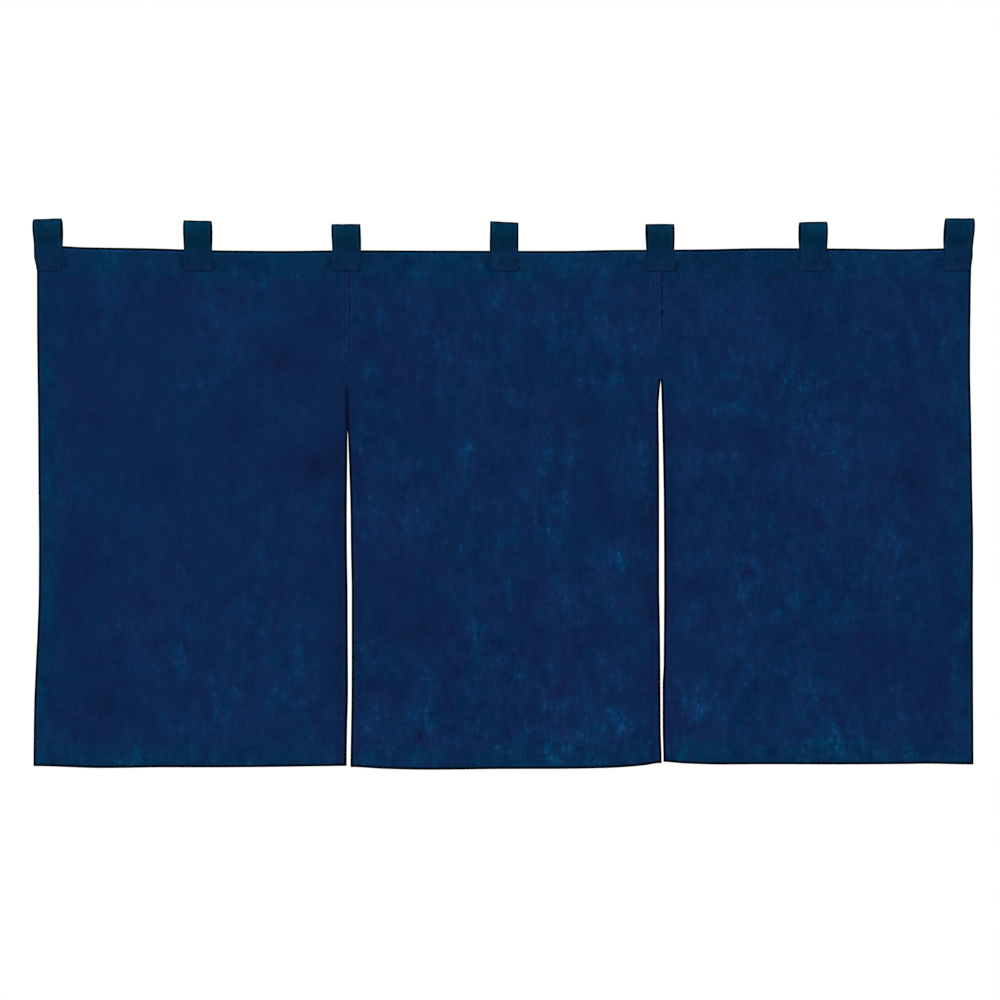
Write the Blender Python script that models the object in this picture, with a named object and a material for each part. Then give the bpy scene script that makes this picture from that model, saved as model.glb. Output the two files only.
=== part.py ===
"""A split curtain of three sewn cloth panels that hangs from seven cloth tabs.

Metres, +Z up. The front faces -Y, X = 0 is at mid width and Z = 0 is at the top edge.
Each panel is a sheet with its hems turned to the back. Each tab is a folded strip whose
two ends lie in front of and behind the heading, and whose loop stands open above it.
"""

import math
from bisect import bisect_right
from collections import namedtuple

import bmesh
import bpy
from mathutils import Vector

MM = 0.001

# Thickness of one cloth layer with its slubs, and what a turned hem adds at the back
CLOTH = 1.2 * MM
HEM_EXTRA = 1.0 * MM
HEM_STEP = 1.2 * MM

# Depths of the hems: the heading fold, the foot, the two outer sides and the slit sides
HEADING = 34 * MM
FOOT_HEM = 23 * MM
SIDE_HEM = 19 * MM
SLIT_HEM = 7.6 * MM

# The height from the top edge to the foot, and the mesh spacing across and down
DROP = 566 * MM
ACROSS = 23 * MM
DOWN = 25 * MM

# A tab's strip, how far its ends reach down the heading, and its clearance from the cloth
TAB_CLOTH = 1.5 * MM
TAB_TAIL = 24.6 * MM
CLEARANCE = 0.3 * MM

# The loop parts from the heading this far above the top edge, and runs in straight to it
TAB_LIFT = 0.6 * MM
LEAD_IN = 8 * MM

# How finely the strips and hems are divided
TAB_TAIL_ROWS = 3
TAB_COLUMNS = 4
LOOP_STEPS = 2
HEM_LINES = 2

# The heading stays straight, and the swells grow below it over this height
CALM_FROM = 3 * MM
CALM_TO = 70 * MM

SMOOTH_ANGLE = math.radians(40)

Edge = namedtuple("Edge", "drop x")
Level = namedtuple("Level", "x z")
Swell = namedtuple("Swell", "panel x z half_width half_height tilt depth")
Loop = namedtuple("Loop", "rise half_depth")
Tab = namedtuple(
    "Tab", "name left_top right_top left_foot right_foot top_left top_right fullness lean"
)
Panel = namedtuple("Panel", "name key left right foot left_hem right_hem tone")
Tone = namedtuple("Tone", "red green blue roughness")

# Heights of the top edge along the whole width, in millimetres
TOP_EDGE = (
    Level(-513.0, 5.2),
    Level(-483.3, 3.7),
    Level(-459.2, 2.4),
    Level(-393.0, 1.3),
    Level(-306.0, -1.1),
    Level(-240.4, -1.6),
    Level(-170.3, -0.9),
    Level(-76.0, -1.3),
    Level(66.1, -1.6),
    Level(120.0, -0.6),
    Level(219.3, 0.1),
    Level(285.0, 1.4),
    Level(372.6, 1.0),
    Level(430.0, 0.3),
    Level(512.0, 1.6),
)

# The outer edges and both sides of each slit, against the drop below the top edge
LEFT_EDGE = (
    Edge(0, -513.0),
    Edge(22, -510.8),
    Edge(88, -510.6),
    Edge(176, -509.6),
    Edge(263, -509.0),
    Edge(329, -508.5),
    Edge(373, -508.7),
    Edge(417, -510.0),
    Edge(460, -512.1),
    Edge(504, -513.8),
    Edge(566, -514.5),
)
LEFT_SLIT_LEFT_SIDE = (
    Edge(0, -170.5),
    Edge(146, -170.5),
    Edge(196, -170.8),
    Edge(241, -171.4),
    Edge(285, -171.7),
    Edge(329, -171.6),
    Edge(373, -171.0),
    Edge(438, -170.6),
    Edge(482, -170.3),
    Edge(526, -171.3),
    Edge(566, -171.8),
)
LEFT_SLIT_RIGHT_SIDE = (
    Edge(0, -170.2),
    Edge(146, -170.2),
    Edge(196, -170.3),
    Edge(241, -169.0),
    Edge(285, -167.7),
    Edge(329, -167.2),
    Edge(373, -166.3),
    Edge(438, -166.3),
    Edge(482, -166.4),
    Edge(526, -167.0),
    Edge(566, -167.6),
)
RIGHT_SLIT_LEFT_SIDE = (
    Edge(0, 172.0),
    Edge(140, 172.0),
    Edge(155, 170.5),
    Edge(176, 169.3),
    Edge(220, 169.9),
    Edge(285, 170.2),
    Edge(373, 170.3),
    Edge(417, 171.1),
    Edge(460, 171.5),
    Edge(526, 171.7),
    Edge(566, 172.7),
)
RIGHT_SLIT_RIGHT_SIDE = (
    Edge(0, 172.3),
    Edge(140, 172.3),
    Edge(155, 172.9),
    Edge(176, 173.5),
    Edge(220, 174.6),
    Edge(285, 175.8),
    Edge(373, 176.2),
    Edge(417, 175.9),
    Edge(460, 175.5),
    Edge(482, 174.4),
    Edge(526, 174.4),
    Edge(566, 175.2),
)
RIGHT_EDGE = (
    Edge(0, 512.7),
    Edge(22, 511.8),
    Edge(88, 510.8),
    Edge(132, 510.6),
    Edge(198, 511.9),
    Edge(263, 512.8),
    Edge(329, 513.9),
    Edge(395, 513.6),
    Edge(482, 513.8),
    Edge(566, 514.2),
)

# The foot of each panel
LEFT_FOOT = (
    Level(-514.5, -565.4),
    Level(-437.4, -567.5),
    Level(-371.7, -566.5),
    Level(-284.1, -566.3),
    Level(-196.6, -565.5),
    Level(-172.0, -565.1),
)
CENTRE_FOOT = (
    Level(-166.0, -566.4),
    Level(-130.9, -568.1),
    Level(-87.1, -568.9),
    Level(44.2, -568.1),
    Level(109.9, -567.2),
    Level(131.8, -566.3),
    Level(153.7, -564.5),
    Level(171.0, -562.1),
)
RIGHT_FOOT = (
    Level(175.0, -560.6),
    Level(197.5, -562.2),
    Level(241.2, -563.4),
    Level(438.2, -563.0),
    Level(460.1, -562.7),
    Level(514.0, -563.6),
)

# Broad swells of the hanging cloth: millimetres and degrees, with depth towards the front.
# Those of every panel lie between the tabs, and the others each stay on one panel.
SWELLS = (
    Swell("every", -418, -55, 78, 62, 0, 2.6),
    Swell("every", -262, -72, 84, 58, 24, 3.8),
    Swell("every", -88, -74, 84, 56, -20, 3.2),
    Swell("every", 85, -60, 80, 64, 0, 3.0),
    Swell("every", 254, -58, 80, 62, 0, 2.6),
    Swell("every", 420, -50, 78, 62, 0, 3.2),
    Swell("left", -469, -165, 46, 124, 0, 2.2),
    Swell("left", -398, -268, 76, 92, 0, -2.2),
    Swell("left", -210, -204, 62, 48, 14, 3.0),
    Swell("left", -200, -318, 58, 66, 8, 2.6),
    Swell("left", -464, -362, 26, 112, -4, -2.4),
    Swell("left", -316, -552, 116, 84, 0, 3.6),
    Swell("left", -169, -345, 34, 190, 0, -3.4),
    Swell("centre", -70, -146, 90, 44, -35, 3.4),
    Swell("centre", -102, -342, 86, 54, -35, 3.2),
    Swell("centre", 105, -322, 82, 50, 40, -2.8),
    Swell("centre", -82, -566, 84, 76, 0, 3.8),
    Swell("centre", 74, -570, 88, 80, 0, 4.2),
    Swell("centre", 172, -376, 36, 214, 0, -3.6),
    Swell("centre", -168, -262, 28, 110, 0, -1.6),
    Swell("right", 266, -150, 90, 52, -12, 2.8),
    Swell("right", 416, -222, 90, 50, -35, 3.4),
    Swell("right", 272, -428, 96, 60, 0, 3.0),
    Swell("right", 412, -446, 74, 46, 15, 2.4),
    Swell("right", 218, -566, 66, 64, 0, 2.8),
    Swell("right", 382, -576, 100, 66, 0, 3.2),
    Swell("right", 176, -345, 32, 172, 0, -2.6),
)

# Half of a loop seen from the end: the share of its height, and half of its depth
LOOP = (
    Loop(0.14, 3.4),
    Loop(0.32, 5.6),
    Loop(0.52, 7.2),
    Loop(0.70, 7.5),
    Loop(0.86, 6.2),
    Loop(0.96, 3.6),
)

# Each tab's sides and its top corners, with how full its loop is and how far it leans back
TABS = (
    Tab("tab_1", -514.5, -484.0, -513.7, -483.0, 33.2, 34.3, 1.00, 0.4),
    Tab("tab_2", -349.9, -319.7, -349.7, -319.5, 32.1, 31.3, 0.94, -0.5),
    Tab("tab_3", -188.1, -157.1, -187.4, -156.3, 27.9, 28.1, 1.05, 0.8),
    Tab("tab_4", -14.6, 16.1, -15.1, 16.1, 31.2, 29.6, 0.97, 0.3),
    Tab("tab_5", 155.6, 186.4, 156.3, 186.7, 27.9, 27.9, 1.04, -0.6),
    Tab("tab_6", 323.8, 354.0, 323.6, 354.0, 30.1, 30.6, 0.96, 0.5),
    Tab("tab_7", 483.7, 514.6, 482.0, 513.2, 34.3, 34.2, 1.02, -0.3),
)

PANEL_TONE = Tone(0.0045, 0.0215, 0.0790, 0.90)
TAB_TONE = Tone(0.0032, 0.0225, 0.0660, 0.92)

PANELS = (
    Panel(
        "panel_left",
        "left",
        LEFT_EDGE,
        LEFT_SLIT_LEFT_SIDE,
        LEFT_FOOT,
        SIDE_HEM,
        SLIT_HEM,
        PANEL_TONE,
    ),
    Panel(
        "panel_centre",
        "centre",
        LEFT_SLIT_RIGHT_SIDE,
        RIGHT_SLIT_LEFT_SIDE,
        CENTRE_FOOT,
        SLIT_HEM,
        SLIT_HEM,
        PANEL_TONE,
    ),
    Panel(
        "panel_right",
        "right",
        RIGHT_SLIT_RIGHT_SIDE,
        RIGHT_EDGE,
        RIGHT_FOOT,
        SLIT_HEM,
        SIDE_HEM,
        PANEL_TONE,
    ),
)


def clear_scene():
    """Removes every object that the scene starts with."""
    for obj in list(bpy.data.objects):
        bpy.data.objects.remove(obj, do_unlink=True)


def mix(start, end, share):
    """The value at a share of the way from start to end."""
    return start + (end - start) * share


def smooth_step(share):
    """An even rise from 0 to 1, with no slope at either end."""
    share = min(max(share, 0.0), 1.0)
    return share * share * (3.0 - 2.0 * share)


def slope_at(table, i):
    """The slope of a two-column table at one row, level where its neighbours turn."""
    if i in (0, len(table) - 1):
        return 0.0
    before = (table[i][1] - table[i - 1][1]) / (table[i][0] - table[i - 1][0])
    after = (table[i + 1][1] - table[i][1]) / (table[i + 1][0] - table[i][0])
    if before * after <= 0.0:
        return 0.0
    return 2.0 * before * after / (before + after)


def read_table(table, at):
    """A smooth reading of a two-column table in millimetres, at a length in metres."""
    keys = [row[0] for row in table]
    at = min(max(at / MM, keys[0]), keys[-1])
    i = min(max(bisect_right(keys, at) - 1, 0), len(keys) - 2)
    span = keys[i + 1] - keys[i]
    share = (at - keys[i]) / span
    leaving = slope_at(table, i) * span * share * (1.0 - share) ** 2
    reaching = slope_at(table, i + 1) * span * share**2 * (share - 1.0)
    level = mix(table[i][1], table[i + 1][1], smooth_step(share))
    return (level + leaving + reaching) * MM


def swell_height(swell, x, z):
    """What one swell adds at a point of the cloth."""
    turn = math.radians(swell.tilt)
    dx = x / MM - swell.x
    dz = z / MM - swell.z
    along = (dx * math.cos(turn) + dz * math.sin(turn)) / swell.half_width
    over = (dz * math.cos(turn) - dx * math.sin(turn)) / swell.half_height
    inside = max(1.0 - along * along - over * over, 0.0)
    return swell.depth * MM * inside * inside


def relief(key, x, z):
    """How far the cloth of one panel stands forward of its plane."""
    calm = smooth_step((-z - CALM_FROM) / (CALM_TO - CALM_FROM))
    rows = (swell for swell in SWELLS if swell.panel in ("every", key))
    return calm * sum(swell_height(swell, x, z) for swell in rows)


def stations(length, near_hem, far_hem, spacing):
    """Shares of a length: both ends, both edges of each hem, and even steps between."""
    near = near_hem + HEM_STEP
    far = length - far_hem - HEM_STEP
    steps = max(round((far - near) / spacing), 1)
    inner = [mix(near, far, i / steps) for i in range(steps + 1)]
    return [s / length for s in [0.0, near_hem] + inner + [length - far_hem, length]]


def in_hem(index, count):
    """Whether a row or a column of points lies on a hem."""
    return index < HEM_LINES or index >= count - HEM_LINES


def principled(name, tone):
    """A cloth material with its own colour and roughness."""
    material = bpy.data.materials.new(name)
    material.use_nodes = True
    shader = material.node_tree.nodes["Principled BSDF"]
    shader.inputs["Base Color"].default_value = (tone.red, tone.green, tone.blue, 1.0)
    shader.inputs["Roughness"].default_value = tone.roughness
    shader.inputs["Metallic"].default_value = 0.0
    return material


def add_sheet(name, front, back, tone):
    """A closed sheet between two grids of points, as a named object."""
    mesh = bmesh.new()
    near = [[mesh.verts.new(point) for point in line] for line in front]
    far = [[mesh.verts.new(point) for point in line] for line in back]
    last_i = len(near) - 1
    last_j = len(near[0]) - 1
    for i in range(last_i):
        for j in range(last_j):
            for side in (near, far):
                corners = (side[i][j], side[i + 1][j], side[i + 1][j + 1], side[i][j + 1])
                mesh.faces.new(corners)
    for i in range(last_i):
        for j in (0, last_j):
            mesh.faces.new((near[i][j], near[i + 1][j], far[i + 1][j], far[i][j]))
    for j in range(last_j):
        for i in (0, last_i):
            mesh.faces.new((near[i][j], near[i][j + 1], far[i][j + 1], far[i][j]))
    bmesh.ops.recalc_face_normals(mesh, faces=mesh.faces)
    data = bpy.data.meshes.new(name)
    mesh.to_mesh(data)
    mesh.free()
    data.shade_smooth()
    data.set_sharp_from_angle(angle=SMOOTH_ANGLE)
    data.materials.append(principled(name, tone))
    obj = bpy.data.objects.new(name, data)
    bpy.context.scene.collection.objects.link(obj)
    return obj


def panel_point(panel, across, down):
    """The point of a panel's plane at a share across and a share down."""
    drop = down * DROP
    left = read_table(panel.left, drop)
    right = read_table(panel.right, drop)
    x = mix(left, right, across)
    z = mix(read_table(TOP_EDGE, x), read_table(panel.foot, x), down)
    return x, z


def add_panel(panel):
    """One cloth panel with its hems folded to the back."""
    width = read_table(panel.right, DROP) - read_table(panel.left, DROP)
    columns = stations(width, panel.left_hem, panel.right_hem, ACROSS)
    rows = stations(DROP, HEADING, FOOT_HEM, DOWN)
    front = []
    back = []
    for i, across in enumerate(columns):
        front.append([])
        back.append([])
        for j, down in enumerate(rows):
            x, z = panel_point(panel, across, down)
            hem = in_hem(i, len(columns)) or in_hem(j, len(rows))
            extra = HEM_EXTRA if hem else 0.0
            plane = -relief(panel.key, x, z)
            front[-1].append(Vector((x, plane - CLOTH / 2, z)))
            back[-1].append(Vector((x, plane + CLOTH / 2 + extra, z)))
    add_sheet(panel.name, front, back, panel.tone)


def spline(points, steps):
    """Points along a smooth line through the given ones, without the line's two end points."""
    found = []
    for before, start, end, after in zip(points, points[1:], points[2:], points[3:]):
        for step in range(steps):
            t = step / steps
            fore = (end - before) * 0.5
            aft = (after - start) * 0.5
            found.append(
                start * (2 * t**3 - 3 * t**2 + 1)
                + fore * (t**3 - 2 * t**2 + t)
                + end * (3 * t**2 - 2 * t**3)
                + aft * (t**3 - t**2)
            )
    found.append(points[-2])
    return found


def tail_line(x, side):
    """The centre line of a tab's end, upwards: side is -1 in front and 1 behind."""
    reach = CLOTH / 2 + CLEARANCE + TAB_CLOTH / 2
    if side > 0:
        reach += HEM_EXTRA
    line = []
    for i in range(TAB_TAIL_ROWS):
        z = mix(-TAB_TAIL, 0.0, i / TAB_TAIL_ROWS)
        line.append(Vector((side * reach - relief("every", x, z), z)))
    return line, side * reach


def loop_line(x, foot, top, front, back, tab):
    """The centre line of the open loop, from the front end over the top to the back."""
    middle = (front + back) / 2
    height = top - foot
    rising = []
    for row in LOOP:
        half = row.half_depth * MM * tab.fullness
        y = middle + tab.lean * MM * row.rise
        rising.append((y, half, foot + height * row.rise))
    up = [Vector((y - half, z)) for y, half, z in rising]
    down = [Vector((y + half, z)) for y, half, z in reversed(rising)]
    crown = Vector((middle + tab.lean * MM, top))
    ends = (Vector((front, foot)), Vector((back, foot)))
    under = (Vector((front, foot - LEAD_IN)), Vector((back, foot - LEAD_IN)))
    return spline([under[0], ends[0], *up, crown, *down, ends[1], under[1]], LOOP_STEPS)


def offset_line(line, distance):
    """A line moved sideways by a distance, to the left of its own direction."""
    moved = []
    for i, point in enumerate(line):
        ahead = line[min(i + 1, len(line) - 1)] - line[max(i - 1, 0)]
        normal = Vector((-ahead.y, ahead.x)).normalized()
        moved.append(point + normal * distance)
    return moved


def tab_lines(tab, across):
    """The two faces of a tab's strip at a share of its width, as points in space."""
    top = mix(tab.top_left, tab.top_right, across) * MM - TAB_CLOTH / 2
    foot_x = mix(tab.left_foot, tab.right_foot, across) * MM
    top_x = mix(tab.left_top, tab.right_top, across) * MM
    foot = read_table(TOP_EDGE, foot_x) + TAB_LIFT
    rise, front = tail_line(foot_x, -1)
    fall, back = tail_line(foot_x, 1)
    line = rise + loop_line(foot_x, foot, top, front, back, tab) + fall[::-1]
    faces = []
    for side in (TAB_CLOTH / 2, -TAB_CLOTH / 2):
        face = []
        for y, z in offset_line(line, side):
            x = mix(foot_x, top_x, smooth_step(z / top))
            face.append(Vector((x, y, z)))
        faces.append(face)
    return faces


def add_tab(tab):
    """One tab: a strip with both ends on the heading and an open loop above it."""
    outer = []
    inner = []
    for i in range(TAB_COLUMNS + 1):
        outside, inside = tab_lines(tab, i / TAB_COLUMNS)
        outer.append(outside)
        inner.append(inside)
    add_sheet(tab.name, outer, inner, TAB_TONE)


def main():
    """Builds the three panels and the seven tabs."""
    clear_scene()
    for panel in PANELS:
        add_panel(panel)
    for tab in TABS:
        add_tab(tab)


main()
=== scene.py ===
"""The looks of a split curtain: three sewn panels of slubbed indigo cloth on seven cloth tabs.

Metres, +Z up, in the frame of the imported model: the front faces -Y, X = 0 is at mid width
and Z = 0 is at the top edge. Every table of places and sizes is in millimetres.

Each panel and tab is a closed sheet of fine mesh on its solid's folds. The seams are felled
bands over the join of two panels, and every stitch is laid by Geometry Nodes.
"""

import logging
import math
from collections.abc import Mapping, Sequence
from dataclasses import dataclass, field
from enum import Enum
from typing import NamedTuple

import bpy
import numpy as np
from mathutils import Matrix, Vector, noise

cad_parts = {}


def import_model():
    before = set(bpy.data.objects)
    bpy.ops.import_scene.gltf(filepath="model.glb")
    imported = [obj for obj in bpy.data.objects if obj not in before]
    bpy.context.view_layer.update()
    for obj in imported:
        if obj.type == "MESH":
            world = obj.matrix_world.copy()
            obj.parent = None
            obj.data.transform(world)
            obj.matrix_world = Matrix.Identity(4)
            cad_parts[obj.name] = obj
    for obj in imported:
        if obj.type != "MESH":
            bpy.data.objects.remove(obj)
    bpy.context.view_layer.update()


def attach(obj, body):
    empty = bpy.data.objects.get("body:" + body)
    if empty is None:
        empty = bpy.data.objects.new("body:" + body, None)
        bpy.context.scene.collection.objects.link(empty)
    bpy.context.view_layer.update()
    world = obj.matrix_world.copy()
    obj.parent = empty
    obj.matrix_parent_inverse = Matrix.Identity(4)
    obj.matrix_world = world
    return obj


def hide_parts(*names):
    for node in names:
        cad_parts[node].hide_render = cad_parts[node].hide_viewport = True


LOG = logging.getLogger("split_curtain")

MM = 0.001
BODY = "root"
CLOTH_MAP = "cloth"
# tone holds uneven dye with painted shade and highlight on folds; rim is painted shade and, below
# 0, painted highlight
MARKS = ("tone", "hem", "rim", "seam", "slub")

# How far the outermost tabs stand from the middle of the row, and past what share of that
# distance a tab counts as one of them
TAB_ROW_HALF = 499 * MM
OUTERMOST = 0.9

# Places of the rows of points round a panel's edge, beside its stitches and round a tab's side
PANEL_RIM_ROWS = (0.0, 0.1, 0.34, 0.7, 1.15, 1.8, 2.3, 2.7, 3.1, 3.6, 4.3)
STITCH_ROWS = (-1.5, -0.8, -0.4, 0.0, 0.4, 0.9, 1.3, 1.8, 2.6)
TAB_RIM_ROWS = (0.0, 0.12, 0.36, 0.8, 1.3, 1.9, 2.4, 2.9, 3.6, 4.4)

# How dark the painted outline is, painted shade along every folded edge, how far in it reaches, and
# how far out the soft edges spread
OUTLINE = 0.96
OUTLINE_SHARPNESS = 10
OUTLINE_REACH = 2.82 * MM
SLIT_REACH = 2.6 * MM
TAB_REACH = 2.4 * MM
SPREAD = 0.15 * MM

# How many rows of points a row of stitches stops short of an edge
SEAM_END = 4

# One cloth layer, what a turned hem adds behind and in front, and the radius of its fold
CLOTH = 1.2 * MM
HEM_EXTRA = 1.0 * MM
HEM_PUFF = 0.2 * MM
RIM = 1.1 * MM

# Depths of the hems, and how far inside its inner edge each one is stitched
HEADING = 34 * MM
FOOT_HEM = 23 * MM
SIDE_HEM = 19 * MM
SLIT_HEM = 7.6 * MM
STITCH_INSET = 1.6 * MM

# The height from the top edge to the foot
DROP = 566 * MM

# A tab's strip, how far its ends reach down the heading, and its clearance from the cloth
TAB_CLOTH = 1.5 * MM
TAB_TAIL = 24.6 * MM
CLEARANCE = 0.3 * MM
TAB_LIFT = 0.6 * MM
LEAD_IN = 8 * MM

# The heading stays straight, and the swells grow below it over this height
CALM_FROM = 3 * MM
CALM_TO = 70 * MM

# The camera takes in the photograph's frame: the size of a pixel at the cloth, how many
# pixels a side has, and the pixels at which the cloth's middle and its top edge stand
PIXEL = 1.0945 * MM
PHOTO_SIDE = 1000
PHOTO_MIDDLE_X = 503.6
PHOTO_TOP_EDGE = 249.5

Colour = tuple[float, float, float]
Point = tuple[float, float, float]


class Face(Enum):
    """Which face of a sheet is meant."""

    NEAR = "near"
    FAR = "far"


class Seed(float, Enum):
    """Which pattern of uneven values is read, by what it is for."""

    GATHERS = 3.0
    SEAM_GATHERS = 5.0
    CRUMPLE = 11.0
    WRINKLES = 17.0
    WEAR = 23.0
    HEM_TONE = 29.0
    PULLS = 37.0
    DRAWN = 41.0
    SHADOWS = 43.0


class Level(NamedTuple):
    """A height against a place across."""

    x: float
    z: float


class Edge(NamedTuple):
    """A place across against a drop below the top edge."""

    drop: float
    x: float


class Swell(NamedTuple):
    """A broad oval rise of the cloth towards the front, turned by tilt degrees."""

    panel: str
    x: float
    z: float
    half_width: float
    half_height: float
    tilt: float
    depth: float


class Crease(NamedTuple):
    """A soft ridge, or a trough where depth is negative, from one point to another."""

    panel: str
    x: float
    z: float
    end_x: float
    end_z: float
    half_width: float
    depth: float


class Patch(NamedTuple):
    """An uneven stain of the dye, paler where tone is positive and deeper where negative; deep
    patches on troughs are painted shade and pale ones on ridges painted highlight.
    """

    x: float
    z: float
    half_width: float
    half_height: float
    tone: float


class Layer(NamedTuple):
    """A layer of uneven dye: its rises to a metre each way, its finer layers and strength."""

    across: float
    along: float
    detail: float
    strength: float


class Ramp(NamedTuple):
    """A smooth rise from 0 at low to gain at high."""

    low: float
    high: float
    gain: float = 1.0


class LoopRow(NamedTuple):
    """A share of a loop's height, and half of its depth there."""

    rise: float
    half_depth: float


class TabRow(NamedTuple):
    """A tab's sides and top corners, how full its loop is and how far it leans back."""

    name: str
    left_top: float
    right_top: float
    left_foot: float
    right_foot: float
    top_left: float
    top_right: float
    fullness: float
    lean: float


def mix(start: float, end: float, share: float) -> float:
    """The value at a share of the way from start to end."""
    return start + (end - start) * share


def smooth_step(share: np.ndarray) -> np.ndarray:
    """An even rise from 0 to 1, with no slope at either end."""
    share = np.clip(share, 0.0, 1.0)
    return share * share * (3.0 - 2.0 * share)


def window(at: np.ndarray, start: float, end: float, fade: float) -> np.ndarray:
    """A value of 1 from start to end, which fades to 0 outside them.

    Args:
        at: The lengths to read.
        start: Where the full value starts.
        end: Where it ends.
        fade: The length of each fade.

    Returns:
        The values, from 0 to 1.
    """
    return smooth_step((at - start) / fade + 1.0) * smooth_step((end - at) / fade + 1.0)


def dip(distance: np.ndarray, half_width: float) -> np.ndarray:
    """A smooth bump of height 1 over a distance of 0, which is gone at half_width."""
    return np.maximum(1.0 - (distance / half_width) ** 2, 0.0) ** 2


def outline(distance: np.ndarray, reach: float) -> np.ndarray:
    """A value of 1 at an edge, which drops to 0 at reach."""
    return np.exp(-((distance / reach) ** OUTLINE_SHARPNESS))


def fold_round(distance: np.ndarray, reach: float) -> np.ndarray:
    """A quarter round, which rises from 0 at an edge to 1 at reach."""
    return np.sqrt(1.0 - (1.0 - np.clip(distance / reach, 0.0, 1.0)) ** 2)


def below_heading(z: np.ndarray) -> np.ndarray:
    """How free the cloth is to swell: 0 at the straight heading, and 1 well below it."""
    return smooth_step((-z - CALM_FROM) / (CALM_TO - CALM_FROM))


def nearest(places: np.ndarray, at: float) -> int:
    """The number of the place that is nearest to a length."""
    return int(np.argmin(abs(places - at)))


@dataclass(frozen=True)
class SoftLine:
    """A soft line of shade or tone along an edge, in millimetres."""

    inset: float
    half_width: float
    strength: float

    def over(self, away: np.ndarray) -> np.ndarray:
        """The line's strength at distances from the edge."""
        return self.strength * dip(away - self.inset * MM, self.half_width * MM)


def uneven(across: np.ndarray, along: np.ndarray, span: float, seed: float) -> np.ndarray:
    """Smooth uneven values over a sheet.

    Args:
        across: Lengths across the sheet.
        along: Lengths along it.
        span: The usual size of a rise, in metres.
        seed: Which pattern is read.

    Returns:
        Values from about -1 to 1.
    """
    pairs = zip((across / span).flat, (along / span).flat)
    found = [noise.noise(Vector((a, b, seed))) for a, b in pairs]
    return np.array(found).reshape(across.shape)


@dataclass(frozen=True)
class SmoothTable:
    """A smooth line through a short table of two columns in millimetres."""

    rows: tuple[tuple[float, float], ...]

    def read(self, at: np.ndarray) -> np.ndarray:
        """Reads the line, which is level where its rows turn and past its ends.

        Args:
            at: Lengths in metres, as in the first column.

        Returns:
            The lengths in metres of the second column.
        """
        keys, levels = np.array(self.rows, float).T
        spans = np.diff(keys)
        rises = np.diff(levels) / spans
        product = rises[:-1] * rises[1:]
        rising = product > 0.0
        slopes = np.zeros(len(keys))
        slopes[1:-1][rising] = 2.0 * product[rising] / (rises[:-1] + rises[1:])[rising]
        at = np.clip(np.asarray(at, float) / MM, keys[0], keys[-1])
        i = np.clip(np.searchsorted(keys, at, side="right") - 1, 0, len(spans) - 1)
        share = (at - keys[i]) / spans[i]
        leaving = slopes[i] * spans[i] * share * (1.0 - share) ** 2
        reaching = slopes[i + 1] * spans[i] * share**2 * (share - 1.0)
        level = levels[i] + (levels[i + 1] - levels[i]) * smooth_step(share)
        return (level + leaving + reaching) * MM


# The painted highlights on the folds just inside the outlines of a panel's top and sides
TOP_FOLD = SoftLine(3.2, 0.95, 1.05)
SIDE_FOLD = SoftLine(0.8, 1.1, 0.24)

# A slit hem's painted highlight on its crest and painted shade in the hollow behind it, and the
# wide painted shade on each side of a slit
SLIT_CREST = SoftLine(6.0, 1.4, 0.24)
SLIT_HOLLOW = SoftLine(9.2, 1.6, 0.12)
SLIT_SHADES = (SoftLine(0.0, 19.0, 0.14), SoftLine(0.0, 19.0, 0.27))

# Beside a tab's sewn end a painted shadow darkens the heading, and the heading is drawn in: how far
# across and down
SHADOW_BESIDE = SoftLine(2.6, 5.5, 0.44)
SHADOW_DOWN = SoftLine(16.0, 12.0, 1.0)
PULL_BESIDE = SoftLine(0.0, 14.0, 1.0)
PULL_DOWN = SoftLine(14.0, 15.0, 1.0)

# How purple the cloth is beside a slit
SLIT_PURPLE = SoftLine(0.0, 17.0, 0.75)

# Where the left slit hangs shut: its own soft painted shade, and how much the painted outlines fade
# there
SHUT_SHADE = SoftLine(0.0, 5.2, 0.36)
SHUT_FADE = SoftLine(0.0, 12.0, 0.92)

# A tab's painted highlights on its side fold and on the fold below its crown, and the painted shade
# at its sewn sides and ends
TAB_SIDE_FOLD = SoftLine(1.2, 1.1, 1.0)
TAB_CROWN_FOLD = SoftLine(3.4, 1.3, 0.5)
TAB_SIDE_SHADE = SoftLine(0.0, 2.8, 0.34)
TAB_END_SHADE = SoftLine(0.8, 2.4, 0.42)

# The pinched middle of a tab's foot, and the puffs on both sides of it
PINCH_ACROSS = SoftLine(0.6, 3.4, 1.0)
PUFF_ACROSS = SoftLine(6.2, 5.4, 1.0)
PUFF_DOWN = SoftLine(7.5, 8.5, 1.0)

# A tab's tone: a painted highlight near its crown and painted shade lower down
TAB_PAINTED_HIGHLIGHT = SoftLine(6.0, 11.0, 1.3)
TAB_PAINTED_SHADE = SoftLine(23.0, 13.0, 0.75)

# Heights of the top edge along the whole width
TOP_EDGE = SmoothTable(
    (
        Level(-513.0, 5.2),
        Level(-483.3, 3.7),
        Level(-459.2, 2.4),
        Level(-393.0, 1.3),
        Level(-306.0, -1.1),
        Level(-240.4, -1.6),
        Level(-170.3, -0.9),
        Level(-76.0, -1.3),
        Level(66.1, -1.6),
        Level(120.0, -0.6),
        Level(219.3, 0.1),
        Level(285.0, 1.4),
        Level(372.6, 1.0),
        Level(430.0, 0.3),
        Level(512.0, 1.6),
    )
)

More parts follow.
